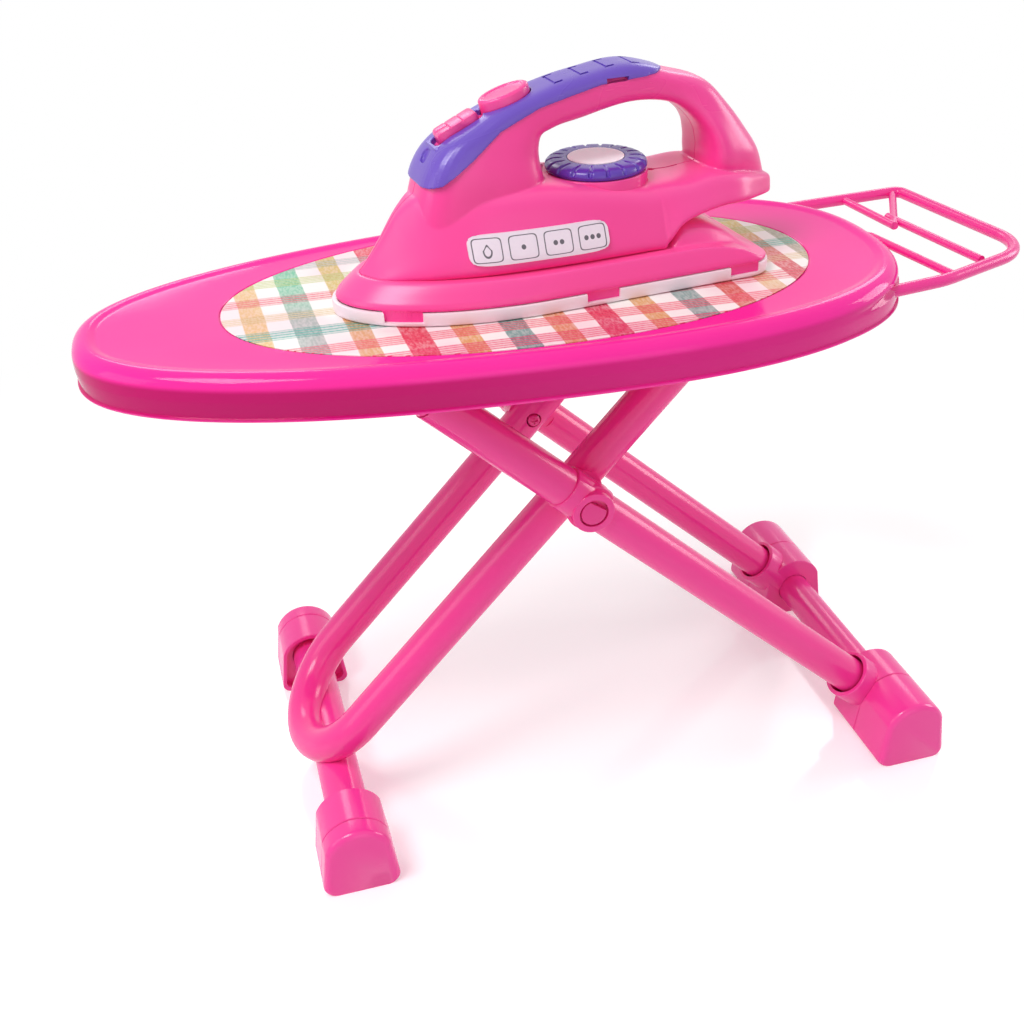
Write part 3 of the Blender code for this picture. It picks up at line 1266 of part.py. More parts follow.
def grip_cover(material):
    """Two-coloured top of the handle: an arched shell with openings for button and switch."""
    cover = loft("iron_grip_cover", grip_rings(COVER_PROUD), material)
    keep_inside(cover, cover_region(0.0, material))
    core = loft("core", grip_rings(-COVER_THICKNESS), material)
    cut(cover, cut(core, switch_well(0.0, material)))
    for i in range(GRIP_RIBS):
        share = GRIP_RIB_START + GRIP_RIB_PITCH * i / IRON_LENGTH
        join(cover, crest_block("rib", share, GRIP_RIB_LENGTH, GRIP_RIB_WIDTH, -COVER_THICKNESS / 2,
                                COVER_PROUD + GRIP_RIB_RISE, material))
    recess = crest_block("recess", SWITCH_SHARE, SWITCH_LENGTH + SWITCH_TRAVEL + RUN_GAP * 2,
                         SWITCH_WIDTH + RUN_GAP * 2, -SWITCH_DEPTH, OVERRUN * 2, material)
    slot = crest_block("slot", SWITCH_SHARE, SWITCH_STEM + SWITCH_TRAVEL + RUN_GAP * 2,
                       SWITCH_STEM + RUN_GAP * 2, -OVERRUN * 2, OVERRUN, material)
    hole = loft("hole", [button_oval(RUN_GAP, -OVERRUN * 2), button_oval(RUN_GAP, OVERRUN * 2)], material)
    return cut(cover, recess, slot, hole)


def iron_dial(material):
    """Turning dial: fluted rim, a shallow seat for its disc and a stem."""
    place = dial_place()
    rings = []
    for height, share in ((0.0, 0.97), (0.70, 0.98), (1.0, 0.80)):
        ring = []
        for k in range(DIAL_FLUTES * 3):
            a = math.tau * k / (DIAL_FLUTES * 3)
            radius = DIAL_RADIUS * share - DIAL_FLUTE_DEPTH * (k % 3 == 0) * (height < 1)
            ring.append(place + Vector((math.cos(a) * radius, math.sin(a) * radius, DIAL_HEIGHT * height)))
        rings.append(ring)
    dial = loft("iron_dial", rings, material)
    top = place + Vector((0, 0, DIAL_HEIGHT))
    recess = rod("recess", top - Vector((0, 0, DIAL_DISC_RECESS)), top + Vector((0, 0, OVERRUN)),
                 DIAL_DISC_RADIUS + TOUCH_GAP, material, 24)
    cut(dial, recess)
    return join(dial, rod("stem", place - Vector((0, 0, DIAL_STEM_LENGTH)),
                          place + Vector((0, 0, DIAL_HEIGHT / 2)), DIAL_STEM_RADIUS, material))


def dial_disc(material):
    seat = dial_place() + Vector((0, 0, DIAL_HEIGHT - DIAL_DISC_RECESS + TOUCH_GAP))
    rise = DIAL_DISC_THICKNESS
    return turned("iron_dial_disc", [(0, DIAL_DISC_RADIUS), (rise * 0.6, DIAL_DISC_RADIUS),
                                     (rise, DIAL_DISC_RADIUS - rise)], seat, Vector((0, 0, 1)), material)


def spray_button(material):
    """Oval push button with a domed edge and the stem that guides its spring."""
    rise = BUTTON_RISE
    rings = [button_oval(0.0, -BUTTON_SKIRT), button_oval(0.0, rise * 0.6),
             button_oval(0.0, rise * 0.85, rise * 0.12), button_oval(0.0, rise, rise * 0.4)]
    button = loft("iron_spray_button", rings, material)
    return join(button, crest_rod("stem", BUTTON_SHARE, -BUTTON_SKIRT - BUTTON_STEM_LENGTH,
                                  -BUTTON_SKIRT / 2, BUTTON_STEM_RADIUS, material, 12))


def button_spring(material):
    """Return spring round the button's stem."""
    crest, tangent, normal = grip_crest(BUTTON_SHARE)
    gap = SPRING_WIRE + TOUCH_GAP
    top = -BUTTON_SKIRT - gap
    bottom = -BUTTON_SKIRT - BUTTON_TRAVEL - SPRING_LENGTH + gap
    path = []
    steps = SPRING_TURNS * 8
    for i in range(steps + 1):
        a = math.tau * i / 8
        out = bottom + (top - bottom) * i / steps
        radial = tangent * math.cos(a) + Vector((0, math.sin(a), 0))
        path.append(crest + normal * out + radial * (SPRING_RADIUS - SPRING_WIRE))
    return sweep("iron_button_spring", path, SPRING_WIRE, material, 4)


def slide_switch(material):
    """Ribbed thumb slide on the cover with the stem that passes through it."""
    base = -SWITCH_DEPTH + RUN_GAP
    body = crest_block("iron_slide_switch", SWITCH_SHARE, SWITCH_LENGTH, SWITCH_WIDTH, base,
                       SWITCH_RISE * 0.4, material)
    join(body, crest_block("top", SWITCH_SHARE, SWITCH_LENGTH * 0.9, SWITCH_WIDTH * 0.8,
                           -SWITCH_RISE, SWITCH_RISE, material))
    join(body, crest_block("stem", SWITCH_SHARE, SWITCH_STEM, SWITCH_STEM,
                           -SWITCH_WIDTH + RUN_GAP, 0, material))
    return body


def label_plate(material):
    """Thin plate that follows the near flank of the body."""
    outline = []
    for degrees in range(0, 360, 15):
        a = math.radians(degrees)
        outline.append(Vector((LABEL_START + LABEL_LENGTH / 2
                               + LABEL_LENGTH / 2 * signed_power(math.cos(a), 0.2), 0,
                               LABEL_TOP_Z - LABEL_HEIGHT / 2
                               + LABEL_HEIGHT / 2 * signed_power(math.sin(a), 0.2))))
    plate = prism("iron_label_plate", outline, Vector((0, -IRON_HALF_WIDTH, 0)),
                  Vector((0, IRON_HALF_WIDTH, 0)), material)
    keep_inside(plate, loft("skin", hull_rings(-TOUCH_GAP - LABEL_THICKNESS), material))
    return cut(plate, loft("skin", hull_rings(-TOUCH_GAP), material))


def build_iron(body_pink, purple, sole_white, metal):
    near, far = iron_body("iron_body_near_half", "iron_body_far_half", body_pink)
    still = [near, far, soleplate(sole_white), base_skirt(body_pink), grip_cover(purple),
             label_plate(sole_white), button_spring(metal)]
    for number, place in enumerate(body_screw_places(), start=1):
        still.append(body_screw("iron_body_screw_" + str(number), place, 0.0, metal))
    for number, place in enumerate(base_screw_places(), start=1):
        still.append(base_screw("iron_base_screw_" + str(number), place, 0.0, metal))
    dial = iron_dial(purple)
    disc = dial_disc(sole_white)
    button = spray_button(body_pink)
    switch = slide_switch(body_pink)
    set_origin(dial, dial_place())
    set_origin(button, grip_crest(BUTTON_SHARE)[0])
    set_origin(switch, grip_crest(SWITCH_SHARE)[0])
    nose = Vector((BOARD_X - BOARD_LENGTH / 2 + IRON_NOSE_BACK, -IRON_NOSE_SIDE, DECK_Z + TOUCH_GAP))
    seat = axis_empty("iron_seat", nose, IRON_YAW)
    for piece in still + [dial, disc, button, switch]:
        piece.parent = seat


def main():
    for thing in list(bpy.data.objects):
        bpy.data.objects.remove(thing)
    pink = plastic("gloss_pink", (0.90, 0.06, 0.32), 0.22)
    foot_pink = plastic("foot_pink", (0.88, 0.09, 0.36), 0.30)
    inlay_card = plastic("plaid_inlay", (0.85, 0.78, 0.72), 0.60)
    metal = steel("plated_steel")
    build_board(pink, inlay_card, metal)
    build_inner_leg(pink, foot_pink, metal)
    build_outer_leg(pink, foot_pink, metal)
    build_iron(plastic("iron_pink", (0.95, 0.12, 0.38), 0.35), plastic("iron_purple", (0.15, 0.07, 0.46), 0.35),
               plastic("sole_white", (0.88, 0.76, 0.84), 0.35), metal)


main()
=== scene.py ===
"""Dresses a toy ironing board and its toy iron for a studio picture.

Each class builds one sub-assembly as fine closed meshes, in metres and in the frame of the
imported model, gives the pieces their finishes and seats them on the body they move with.
"""

from __future__ import annotations

import json
import logging
import math
from dataclasses import dataclass
from enum import Enum
from typing import Callable, Optional, Sequence, Union

import bmesh
import bpy
import numpy as np
from mathutils import Matrix, Vector
from mathutils.bvhtree import BVHTree

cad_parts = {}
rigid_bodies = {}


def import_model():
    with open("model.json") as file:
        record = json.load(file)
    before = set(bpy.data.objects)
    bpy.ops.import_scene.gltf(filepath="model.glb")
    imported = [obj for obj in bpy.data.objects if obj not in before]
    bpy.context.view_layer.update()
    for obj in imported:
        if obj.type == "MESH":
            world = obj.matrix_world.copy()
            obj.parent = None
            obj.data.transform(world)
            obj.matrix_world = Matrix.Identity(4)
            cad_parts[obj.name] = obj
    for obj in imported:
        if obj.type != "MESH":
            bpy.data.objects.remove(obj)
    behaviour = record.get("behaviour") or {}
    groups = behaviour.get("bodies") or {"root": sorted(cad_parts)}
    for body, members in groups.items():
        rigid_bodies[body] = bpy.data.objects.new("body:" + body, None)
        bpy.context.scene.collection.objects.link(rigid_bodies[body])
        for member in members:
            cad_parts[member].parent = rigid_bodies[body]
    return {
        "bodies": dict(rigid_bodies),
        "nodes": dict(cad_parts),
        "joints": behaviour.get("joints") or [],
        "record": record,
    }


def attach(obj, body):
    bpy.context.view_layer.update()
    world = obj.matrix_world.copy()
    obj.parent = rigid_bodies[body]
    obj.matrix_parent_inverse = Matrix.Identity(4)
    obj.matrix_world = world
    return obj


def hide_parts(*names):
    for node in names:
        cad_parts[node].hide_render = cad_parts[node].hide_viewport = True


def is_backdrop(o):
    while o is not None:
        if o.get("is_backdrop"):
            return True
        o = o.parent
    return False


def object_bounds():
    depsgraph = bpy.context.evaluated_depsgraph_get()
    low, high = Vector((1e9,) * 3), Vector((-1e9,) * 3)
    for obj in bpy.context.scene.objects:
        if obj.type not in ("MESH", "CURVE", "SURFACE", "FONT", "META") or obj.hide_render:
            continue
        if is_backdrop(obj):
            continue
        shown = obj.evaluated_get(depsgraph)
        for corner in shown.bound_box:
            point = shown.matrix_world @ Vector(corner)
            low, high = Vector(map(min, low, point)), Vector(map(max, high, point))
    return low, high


LOG = logging.getLogger("toy_ironing_board")

# Clearance between pieces that are made apart, how far a cutter reaches past what it cuts, and
# the roundings of bar ends and of turned shoulders.
FIT = 0.0003
OVERRUN = 0.004
BAR_EDGE = 0.0008
SHOULDER = 0.0006

Ring = list[Vector]
Row = Sequence[float]


class Body(str, Enum):
    """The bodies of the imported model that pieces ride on."""

    BOARD = "board"
    INNER_LEG = "inner_leg"
    OUTER_LEG = "outer_leg"
    IRON = "iron"
    DIAL = "dial"
    BUTTON = "spray_button"
    SWITCH = "slide_switch"


class Slot(str, Enum):
    """The record's material slots, one named for each new piece."""

    GLOSS_PINK = "gloss_pink"
    FOOT_PINK = "foot_pink"
    PLAID = "plaid_inlay"
    IRON_PINK = "iron_pink"
    PURPLE = "iron_purple"
    SOLE = "sole_white"


class Side(Enum):
    """The two sides of the middle plane; the value is the sign of Y."""

    NEAR = -1
    FAR = 1

    @property
    def word(self) -> str:
        """The side's word in piece names."""
        return self.name.lower()

    def at(self, point: Vector, reach: float) -> Vector:
        """A point moved to this side of the middle plane by a distance."""
        return point + Vector((0, self.value * reach, 0))


# Outlines and paths


def signed_power(value: float, power: float) -> float:
    """Power of a number's size that keeps its sign."""
    return math.copysign(abs(value) ** power, value)


def squircle(power: float, count: int) -> list[tuple[float, float]]:
    """Points round a unit squircle, where a power of 2 is a circle."""
    angles = [math.tau * k / count for k in range(count)]
    return [(signed_power(math.cos(a), 2 / power), signed_power(math.sin(a), 2 / power))
            for a in angles]


def oval(half_length: float, half_width: float, z: float, count: int) -> Ring:
    """Points round an ellipse at one height."""
    angles = [math.tau * k / count for k in range(count)]
    return [Vector((half_length * math.cos(a), half_width * math.sin(a), z)) for a in angles]


def spokes(across: Vector, up: Vector, count: int) -> Ring:
    """Unit vectors round an axis, from two that are square to it."""
    angles = [math.tau * k / count for k in range(count)]
    return [across * math.cos(a) + up * math.sin(a) for a in angles]


def ease(share: float) -> float:
    """Smooth step from 0 to 1, held outside that range."""
    share = min(max(share, 0.0), 1.0)
    return share * share * (3 - 2 * share)


def resample(points: Ring, count: int) -> Ring:
    """Spaces points evenly along a closed outline.

    Args:
        points: the outline, without a repeated last point.
        count: how many points to return.

    Returns:
        The new outline, which starts at the same point.
    """
    closed = points + [points[0]]
    lengths = [(b - a).length for a, b in zip(closed, closed[1:])]
    step = sum(lengths) / count
    result: Ring = []
    index, before = 0, 0.0
    for i in range(count):
        while before + lengths[index] < i * step:
            before += lengths[index]
            index += 1
        share = (i * step - before) / lengths[index]
        result.append(closed[index].lerp(closed[index + 1], share))
    return result


def inset_outline(points: Ring, inset: Union[float, Sequence[float]]) -> Ring:
    """Moves the points of a counter-clockwise outline inwards along its normals.

    Args:
        points: the outline in the XY plane.
        inset: one distance, or one for each point.

    Returns:
        The moved outline.
    """
    insets = [inset] * len(points) if isinstance(inset, float) else inset
    moved: Ring = []
    for i, point in enumerate(points):
        along = (points[(i + 1) % len(points)] - points[i - 1]).normalized()
        moved.append(point + Vector((-along.y, along.x, 0)) * insets[i])
    return moved


def at_height(outline: Ring, z: float) -> Ring:
    """The outline laid at one height."""
    return [Vector((p.x, p.y, z)) for p in outline]


def arc(centre: tuple[float, float], radius: float, start: float, end: float,
        steps: int) -> list[tuple[float, float]]:
    """Points of an arc in a plane.

    Args:
        centre: the arc's centre.
        radius: the arc's radius.
        start: first angle in degrees.
        end: last angle in degrees.
        steps: number of parts.

    Returns:
        Pairs of coordinates.
    """
    angles = [math.radians(start + (end - start) * i / steps) for i in range(steps + 1)]
    return [(centre[0] + radius * math.cos(a), centre[1] + radius * math.sin(a)) for a in angles]


def smooth_rows(rows: Sequence[Row], steps: int) -> list[list[float]]:
    """Adds rows between rows of numbers, on a Catmull-Rom curve.

    Args:
        rows: the given rows.
        steps: parts per gap between two rows.

    Returns:
        The given rows and those between them.
    """
    result: list[list[float]] = []
    for i in range(len(rows) - 1):
        before, start = rows[max(i - 1, 0)], rows[i]
        end, after = rows[i + 1], rows[min(i + 2, len(rows) - 1)]
        for k in range(steps):
            t = k / steps
            result.append([0.5 * (2 * b + (c - a) * t + (2 * a - 5 * b + 4 * c - d) * t ** 2
                                  + (3 * b - a - 3 * c + d) * t ** 3)
                           for a, b, c, d in zip(before, start, end, after)])
    result.append(list(rows[-1]))
    return result


def rounded_path(corners: Ring, radii: Sequence[float], steps: int = 12) -> Ring:
    """A path through corner points with each inner corner turned on an arc.

    Args:
        corners: the corner points, with both ends.
        radii: one bend radius for each inner corner.
        steps: parts per bend.

    Returns:
        The path's points.
    """
    path = [corners[0]]
    for before, corner, after, radius in zip(corners, corners[1:], corners[2:], radii):
        to_before = (before - corner).normalized()
        to_after = (after - corner).normalized()
        half_angle = to_before.angle(to_after) / 2
        reach = radius / math.tan(half_angle)
        centre = corner + (to_before + to_after).normalized() * (radius / math.sin(half_angle))
        start = corner + to_before * reach - centre
        end = corner + to_after * reach - centre
        path += [centre + start.slerp(end, i / steps) * radius for i in range(steps + 1)]
    path.append(corners[-1])
    return path


def egg_outline(centre_x: float, length: float, half_width: float, power: float, taper: float,
                count: int) -> Ring:
    """An egg-shaped outline, wider towards +X, counter-clockwise from the +X tip.

    Args:
        centre_x: middle of the length.
        length: whole length along X.
        half_width: half width at the middle.
        power: squareness, where 2 is an ellipse.
        taper: share by which the width grows towards +X.
        count: number of points.

    Returns:
        The outline's points, evenly spaced.
    """
    dense = [Vector((centre_x + length / 2 * across, half_width * up * (1 + taper * across), 0))
             for across, up in squircle(power, count * 8)]
    return resample(dense, count)


def rectangle(low_x: float, low_y: float, high_x: float, high_y: float, z: float) -> Ring:
    """A rectangle's corners at one height, from two opposite ones."""
    return [Vector((x, y, z)) for x, y in (
        (low_x, low_y), (high_x, low_y), (high_x, high_y), (low_x, high_y))]


def rounded_plan(half_length: float, half_width: float, corner: float, z: float,
                 steps: int) -> Ring:
    """A rectangle round the origin with round corners.

    Args:
        half_length: half its size along X.
        half_width: half its size along Y.
        corner: radius of its corners.
        z: its height.
        steps: parts per corner.

    Returns:
        The outline, counter-clockwise.
    """
    return [Vector((sx * (half_length - corner) + a, sy * (half_width - corner) + b, z))
            for sx, sy, start in ((1, -1, -90), (1, 1, 0), (-1, 1, 90), (-1, -1, 180))
            for a, b in arc((0, 0), corner, start, start + 90, steps)]


class Shape:
    """A closed mesh while it is being made, with the operations that form it."""

    EVEN_PASSES = 14

    def __init__(self, thing: bpy.types.Object) -> None:
        """Takes over an object of the scene."""
        self.thing = thing

    @classmethod
    def of(cls, name: str, bm: bmesh.types.BMesh) -> "Shape":
        """Puts a finished bmesh into the scene.

        Args:
            name: the piece's name.
            bm: the mesh, which is freed.

        Returns:
            The new shape.
        """
        bmesh.ops.recalc_face_normals(bm, faces=bm.faces)
        mesh = bpy.data.meshes.new(name)
        bm.to_mesh(mesh)
        bm.free()
        thing = bpy.data.objects.new(name, mesh)
        bpy.context.scene.collection.objects.link(thing)
        return cls(thing)

    @classmethod
    def loft(cls, name: str, rings: Sequence[Ring]) -> "Shape":
        """Skins rings of equal size and closes both ends.

        Args:
            name: the piece's name.
            rings: sections from one end to the other.

        Returns:
            The new shape.
        """
        bm = bmesh.new()
        rows = [[bm.verts.new(p) for p in ring] for ring in rings]
        for low, high in zip(rows, rows[1:]):
            count = len(low)
            for i in range(count):
                j = (i + 1) % count
                bm.faces.new((low[i], low[j], high[j], high[i]))
        bm.faces.new(rows[0][::-1])
        bm.faces.new(rows[-1])
        return cls.of(name, bm)

    @classmethod
    def sweep(cls, name: str, path: Ring, radius: float, sides: int = 32) -> "Shape":
        """A round bar along a path, without twist.

        Args:
            name: the piece's name.
            path: the centre line.
            radius: the bar's radius.
            sides: points round the bar.

        Returns:
            The new shape.
        """
        rings: list[Ring] = []
        across: Optional[Vector] = None
        for i, point in enumerate(path):
            before, after = path[max(i - 1, 0)], path[min(i + 1, len(path) - 1)]
            along = (after - before).normalized()
            first = Vector((0, 1, 0)) if abs(along.y) < 0.9 else Vector((0, 0, 1))
            seed = across if across else first
            across = (seed - along * seed.dot(along)).normalized()
            up = along.cross(across)
            rings.append([point + spoke * radius for spoke in spokes(across, up, sides)])
        return cls.loft(name, rings)

    @classmethod
    def turned(cls, name: str, profile: Sequence[tuple[float, float]], base: Vector, axis: Vector,
               sides: int = 64) -> "Shape":
        """A body of revolution.

        Args:
            name: the piece's name.
            profile: pairs of distance along the axis and radius.
            base: where the distance is 0.
            axis: direction of the axis.
            sides: points round the axis.

        Returns:
            The new shape.
        """
        axis = axis.normalized()
        across = axis.orthogonal().normalized()
        star = spokes(across, axis.cross(across), sides)
        return cls.loft(name, [[base + axis * along + spoke * radius for spoke in star]
                               for along, radius in profile])

    @classmethod
    def rod(cls, name: str, start: Vector, end: Vector, radius: float, sides: int = 48,
            rounding: float = 0.0) -> "Shape":
        """A straight round rod, optionally with rounded end edges.

        Args:
            name: the piece's name.
            start: centre of the first end.
            end: centre of the last end.
            radius: the rod's radius.
            sides: points round the rod.
            rounding: radius of the end edges.

        Returns:
            The new shape.
        """
        length = (end - start).length
        if rounding:
            curve = [(rounding * (1 - math.cos(math.radians(a))), radius - rounding
                      + rounding * math.sin(math.radians(a))) for a in (0, 30, 60, 90)]
            profile = curve + [(length - along, out) for along, out in reversed(curve)]
        else:
            profile = [(0.0, radius), (length, radius)]
        return cls.turned(name, profile, start, end - start, sides)

    @classmethod
    def cross_rod(cls, name: str, axis: Vector, side: Side, start: float, end: float, radius: float,
                  sides: int = 48, rounding: float = 0.0) -> "Shape":
        """A rod across the board.

        Args:
            name: the piece's name.
            axis: where its axis meets the middle plane.
            side: the side that the distances count towards.
            start: distance of its first end from the middle plane.
            end: distance of its last end.
            radius: the rod's radius.
            sides: points round the rod.
            rounding: radius of the end edges.

        Returns:
            The new shape.
        """
        return cls.rod(name, side.at(axis, start), side.at(axis, end), radius, sides, rounding)

    @classmethod
    def prism(cls, name: str, outline: Ring, shift: Vector) -> "Shape":
        """An outline pushed along a vector."""
        return cls.loft(name, [outline, [p + shift for p in outline]])

    @classmethod
    def block(cls, name: str, low: Vector, high: Vector) -> "Shape":
        """A box between two corners, used to form other shapes."""
        base = rectangle(low.x, low.y, high.x, high.y, low.z)
        return cls.prism(name, base, Vector((0, 0, high.z - low.z)))

    def change(self, kind: str, **settings: object) -> "Shape":
        """Applies one of Blender's modifiers to the mesh.

        Args:
            kind: the modifier's type.
            settings: its settings by name.

        Returns:
            This shape.
        """
        modifier = self.thing.modifiers.new(kind, kind)
        for key, value in settings.items():
            setattr(modifier, key, value)
        graph = bpy.context.evaluated_depsgraph_get()
        mesh = bpy.data.meshes.new_from_object(self.thing.evaluated_get(graph), depsgraph=graph)
        self.thing.modifiers.clear()
        old, self.thing.data = self.thing.data, mesh
        bpy.data.meshes.remove(old)
        return self

    def combine(self, operation: str, others: Sequence["Shape"]) -> "Shape":
        """Runs one Boolean with each of the other shapes, which are used up.

        Args:
            operation: UNION, DIFFERENCE or INTERSECT.
            others: the shapes that act on this one.

        Returns:
            This shape.
        """
        for other in others:
            self.change("BOOLEAN", operation=operation, solver="EXACT", object=other.thing)
            bpy.data.objects.remove(other.thing)
        return self

    def cut(self, *others: "Shape") -> "Shape":
        """Takes other shapes away from this one."""
        return self.combine("DIFFERENCE", others)

    def join(self, *others: "Shape") -> "Shape":
        """Fuses other shapes with this one."""
        return self.combine("UNION", others)

    def keep_inside(self, *others: "Shape") -> "Shape":
        """Keeps only what lies inside the other shapes."""
        return self.combine("INTERSECT", others)

    def bevel(self, width: float, segments: int = 2, angle: float = 40.0) -> "Shape":
        """Rounds the edges that are sharper than an angle in degrees."""
        return self.change("BEVEL", width=width, segments=segments, limit_method="ANGLE",
                           angle_limit=math.radians(angle), use_clamp_overlap=True)

    def tree(self) -> BVHTree:
        """A search tree of the mesh as it is now."""
        mesh = self.thing.data
        return BVHTree.FromPolygons([v.co.copy() for v in mesh.vertices],
                                    [tuple(p.vertices) for p in mesh.polygons])

    def soften(self, voxel: float, times: int, hold: float) -> "Shape":
        """Fillets every joint and leaves the faces between them as they were.

        The skin is rebuilt on an even grid and smoothed. Where smoothing moved it less than the
        hold distance, it goes back to the shape it had, and a short last smoothing evens the two.

        Args:
            voxel: grid size in metres.
            times: smoothing passes.
            hold: distance from the first skin up to which a point returns to it.

        Returns:
            This shape.
        """
        tree = self.tree()
        self.change("REMESH", mode="VOXEL", voxel_size=voxel)
        self.change("SMOOTH", factor=0.5, iterations=times)

        mesh = self.thing.data
        found = [tree.find_nearest(vertex.co) for vertex in mesh.vertices]
        share = np.array([1 - ease((hit[3] - hold * 0.5) / hold) for hit in found])
        pairs = np.empty(len(mesh.edges) * 2, dtype=np.int32)
        mesh.edges.foreach_get("vertices", pairs)
        here = np.concatenate((pairs[::2], pairs[1::2]))
        there = np.concatenate((pairs[1::2], pairs[::2]))
        count = np.bincount(here, minlength=len(share))
        for _ in range(self.EVEN_PASSES):
            around = np.bincount(here, weights=share[there], minlength=len(share))
            share = (share + around / count) / 2
        for vertex, hit, part in zip(mesh.vertices, found, share):
            vertex.co = vertex.co.lerp(hit[0], float(part))
        mesh.update()
        return self.change("SMOOTH", factor=0.5, iterations=2)

    def move_points(self, rule: Callable[[Vector], Vector]) -> "Shape":
        """Gives every vertex the place that a rule returns for it.

        Args:
            rule: gives a point's new place from its old one.

        Returns:
            This shape.
        """
        for vertex in self.thing.data.vertices:
            vertex.co = rule(vertex.co.copy())
        self.thing.data.update()
        return self

    def place(self, matrix: Matrix) -> "Shape":
        """Moves the mesh itself, so that its object stays at the origin.

        Args:
            matrix: the move.

        Returns:
            This shape.
        """
        self.thing.data.transform(matrix)
        self.thing.data.update()
        return self

    def seat(self, body: Body, slot: Slot, finish: bpy.types.Material, *nodes: str,
             angle: float = 32.0) -> None:
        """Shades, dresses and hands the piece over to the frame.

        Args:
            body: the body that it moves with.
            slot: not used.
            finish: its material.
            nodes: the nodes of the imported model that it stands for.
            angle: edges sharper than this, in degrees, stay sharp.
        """
        thing = self.thing
        mesh = thing.data
        mesh.shade_smooth()
        mesh.set_sharp_from_angle(angle=math.radians(angle))
        mesh.materials.clear()
        mesh.materials.append(finish)
        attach(thing, body.value)
        if nodes:
            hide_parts(*nodes)
        LOG.info("%s: %d faces on %s", thing.name, len(mesh.polygons), body.value)


# Shaders


class Signal:
    """A node's output socket; arithmetic on it adds Math nodes to the same tree."""

    def __init__(self, shader: "Nodes", socket: bpy.types.NodeSocket) -> None:
        """Wraps a socket of a node tree."""
        self.shader = shader
        self.socket = socket

    def maths(self, operation: str, first: "Value", second: "Value" = 0.0) -> "Signal":
        """One Math node; the first operand comes first."""
        return self.shader.add("ShaderNodeMath", {"operation": operation}, {0: first, 1: second})

    def __add__(self, other: "Value") -> "Signal":
        """Sum."""
        return self.maths("ADD", self, other)

    __radd__ = __add__

    def __sub__(self, other: "Value") -> "Signal":
        """Difference."""
        return self.maths("SUBTRACT", self, other)

    def __rsub__(self, other: "Value") -> "Signal":
        """Difference, from a number."""
        return self.maths("SUBTRACT", other, self)

    def __mul__(self, other: "Value") -> "Signal":
        """Product."""
        return self.maths("MULTIPLY", self, other)

    __rmul__ = __mul__

    def __truediv__(self, other: "Value") -> "Signal":
        """Quotient."""
        return self.maths("DIVIDE", self, other)

    def __pow__(self, power: "Value") -> "Signal":
        """Power."""
        return self.maths("POWER", self, power)

    def __abs__(self) -> "Signal":
        """Size without its sign."""
        return self.maths("ABSOLUTE", self)

    def at_most(self, other: "Value") -> "Signal":
        """The smaller of two values."""
        return self.maths("MINIMUM", self, other)

    def at_least(self, other: "Value") -> "Signal":
        """The greater of two values."""
        return self.maths("MAXIMUM", self, other)

    def sawtooth(self, period: float) -> "Signal":
        """Share of the way through a repeating period, from 0 to 1."""
        return self.maths("FRACT", self / period)

    def rise(self, low: float, high: float) -> "Signal":
        """Smooth step from 0 at low to 1 at high."""
        return self.shader.add("ShaderNodeMapRange", {"interpolation_type": "SMOOTHSTEP"},
                               {"Value": self, "From Min": low, "From Max": high})


Value = Union[float, Signal]
Paint = Union[str, Signal]


def linear(code: str) -> tuple[float, float, float, float]:
    """Linear colour of a six-digit sRGB code.

    Args:
        code: the colour, as a hash and six digits.

    Returns:
        Red, green, blue and a full alpha.
    """
    parts = [int(code[i:i + 2], 16) / 255 for i in (1, 3, 5)]
    red, green, blue = [c / 12.92 if c <= 0.04045 else ((c + 0.055) / 1.055) ** 2.4 for c in parts]
    return red, green, blue, 1.0


class Nodes:
    """The node tree of a material or a world while it is being filled."""

    def __init__(self, owner: Union[bpy.types.Material, bpy.types.World]) -> None:
        """Empties the owner's tree.

        Args:
            owner: the material or world.
        """
        owner.use_nodes = True
        self.tree = owner.node_tree
        self.tree.nodes.clear()

    def add(self, kind: str, settings: Optional[dict[str, object]] = None,
            inputs: Optional[dict[Union[int, str], object]] = None,
            output: Union[int, str] = 0) -> Signal:
        """Adds any node.

        Args:
            kind: the node's type.
            settings: its settings.
            inputs: values or links of its sockets.
            output: which output to return.

        Returns:
            The output socket.
        """
        node = self.tree.nodes.new(kind)
        for key, value in (settings or {}).items():
            setattr(node, key, value)
        for key, value in (inputs or {}).items():
            self.plug(node.inputs[key], value)
        return Signal(self, node.outputs[output])

    def plug(self, socket: bpy.types.NodeSocket, value: object) -> None:
        """Links a signal to a socket, or sets the socket's own value.

        Args:
            socket: the input.
            value: a signal, a colour code or a plain value.
        """
        if isinstance(value, Signal):
            self.tree.links.new(value.socket, socket)
        elif isinstance(value, str):
            socket.default_value = linear(value)
        else:
            socket.default_value = value

    def mix_shaders(self, share: Value, first: Signal, second: Signal) -> Signal:
        """A blend of two surfaces or backgrounds."""
        return self.add("ShaderNodeMixShader", inputs={0: share, 1: first, 2: second})

    def seen(self) -> Signal:
        """1 for rays from the camera, off gloss and through clear matter, else 0.

        Returns:
            The 0 or 1.
        """
        path = self.add("ShaderNodeLightPath").socket.node
        camera, gloss, through = (Signal(self, path.outputs[f"Is {kind} Ray"])
                                  for kind in ("Camera", "Glossy", "Transmission"))
        return (camera + gloss + through).at_most(1.0)


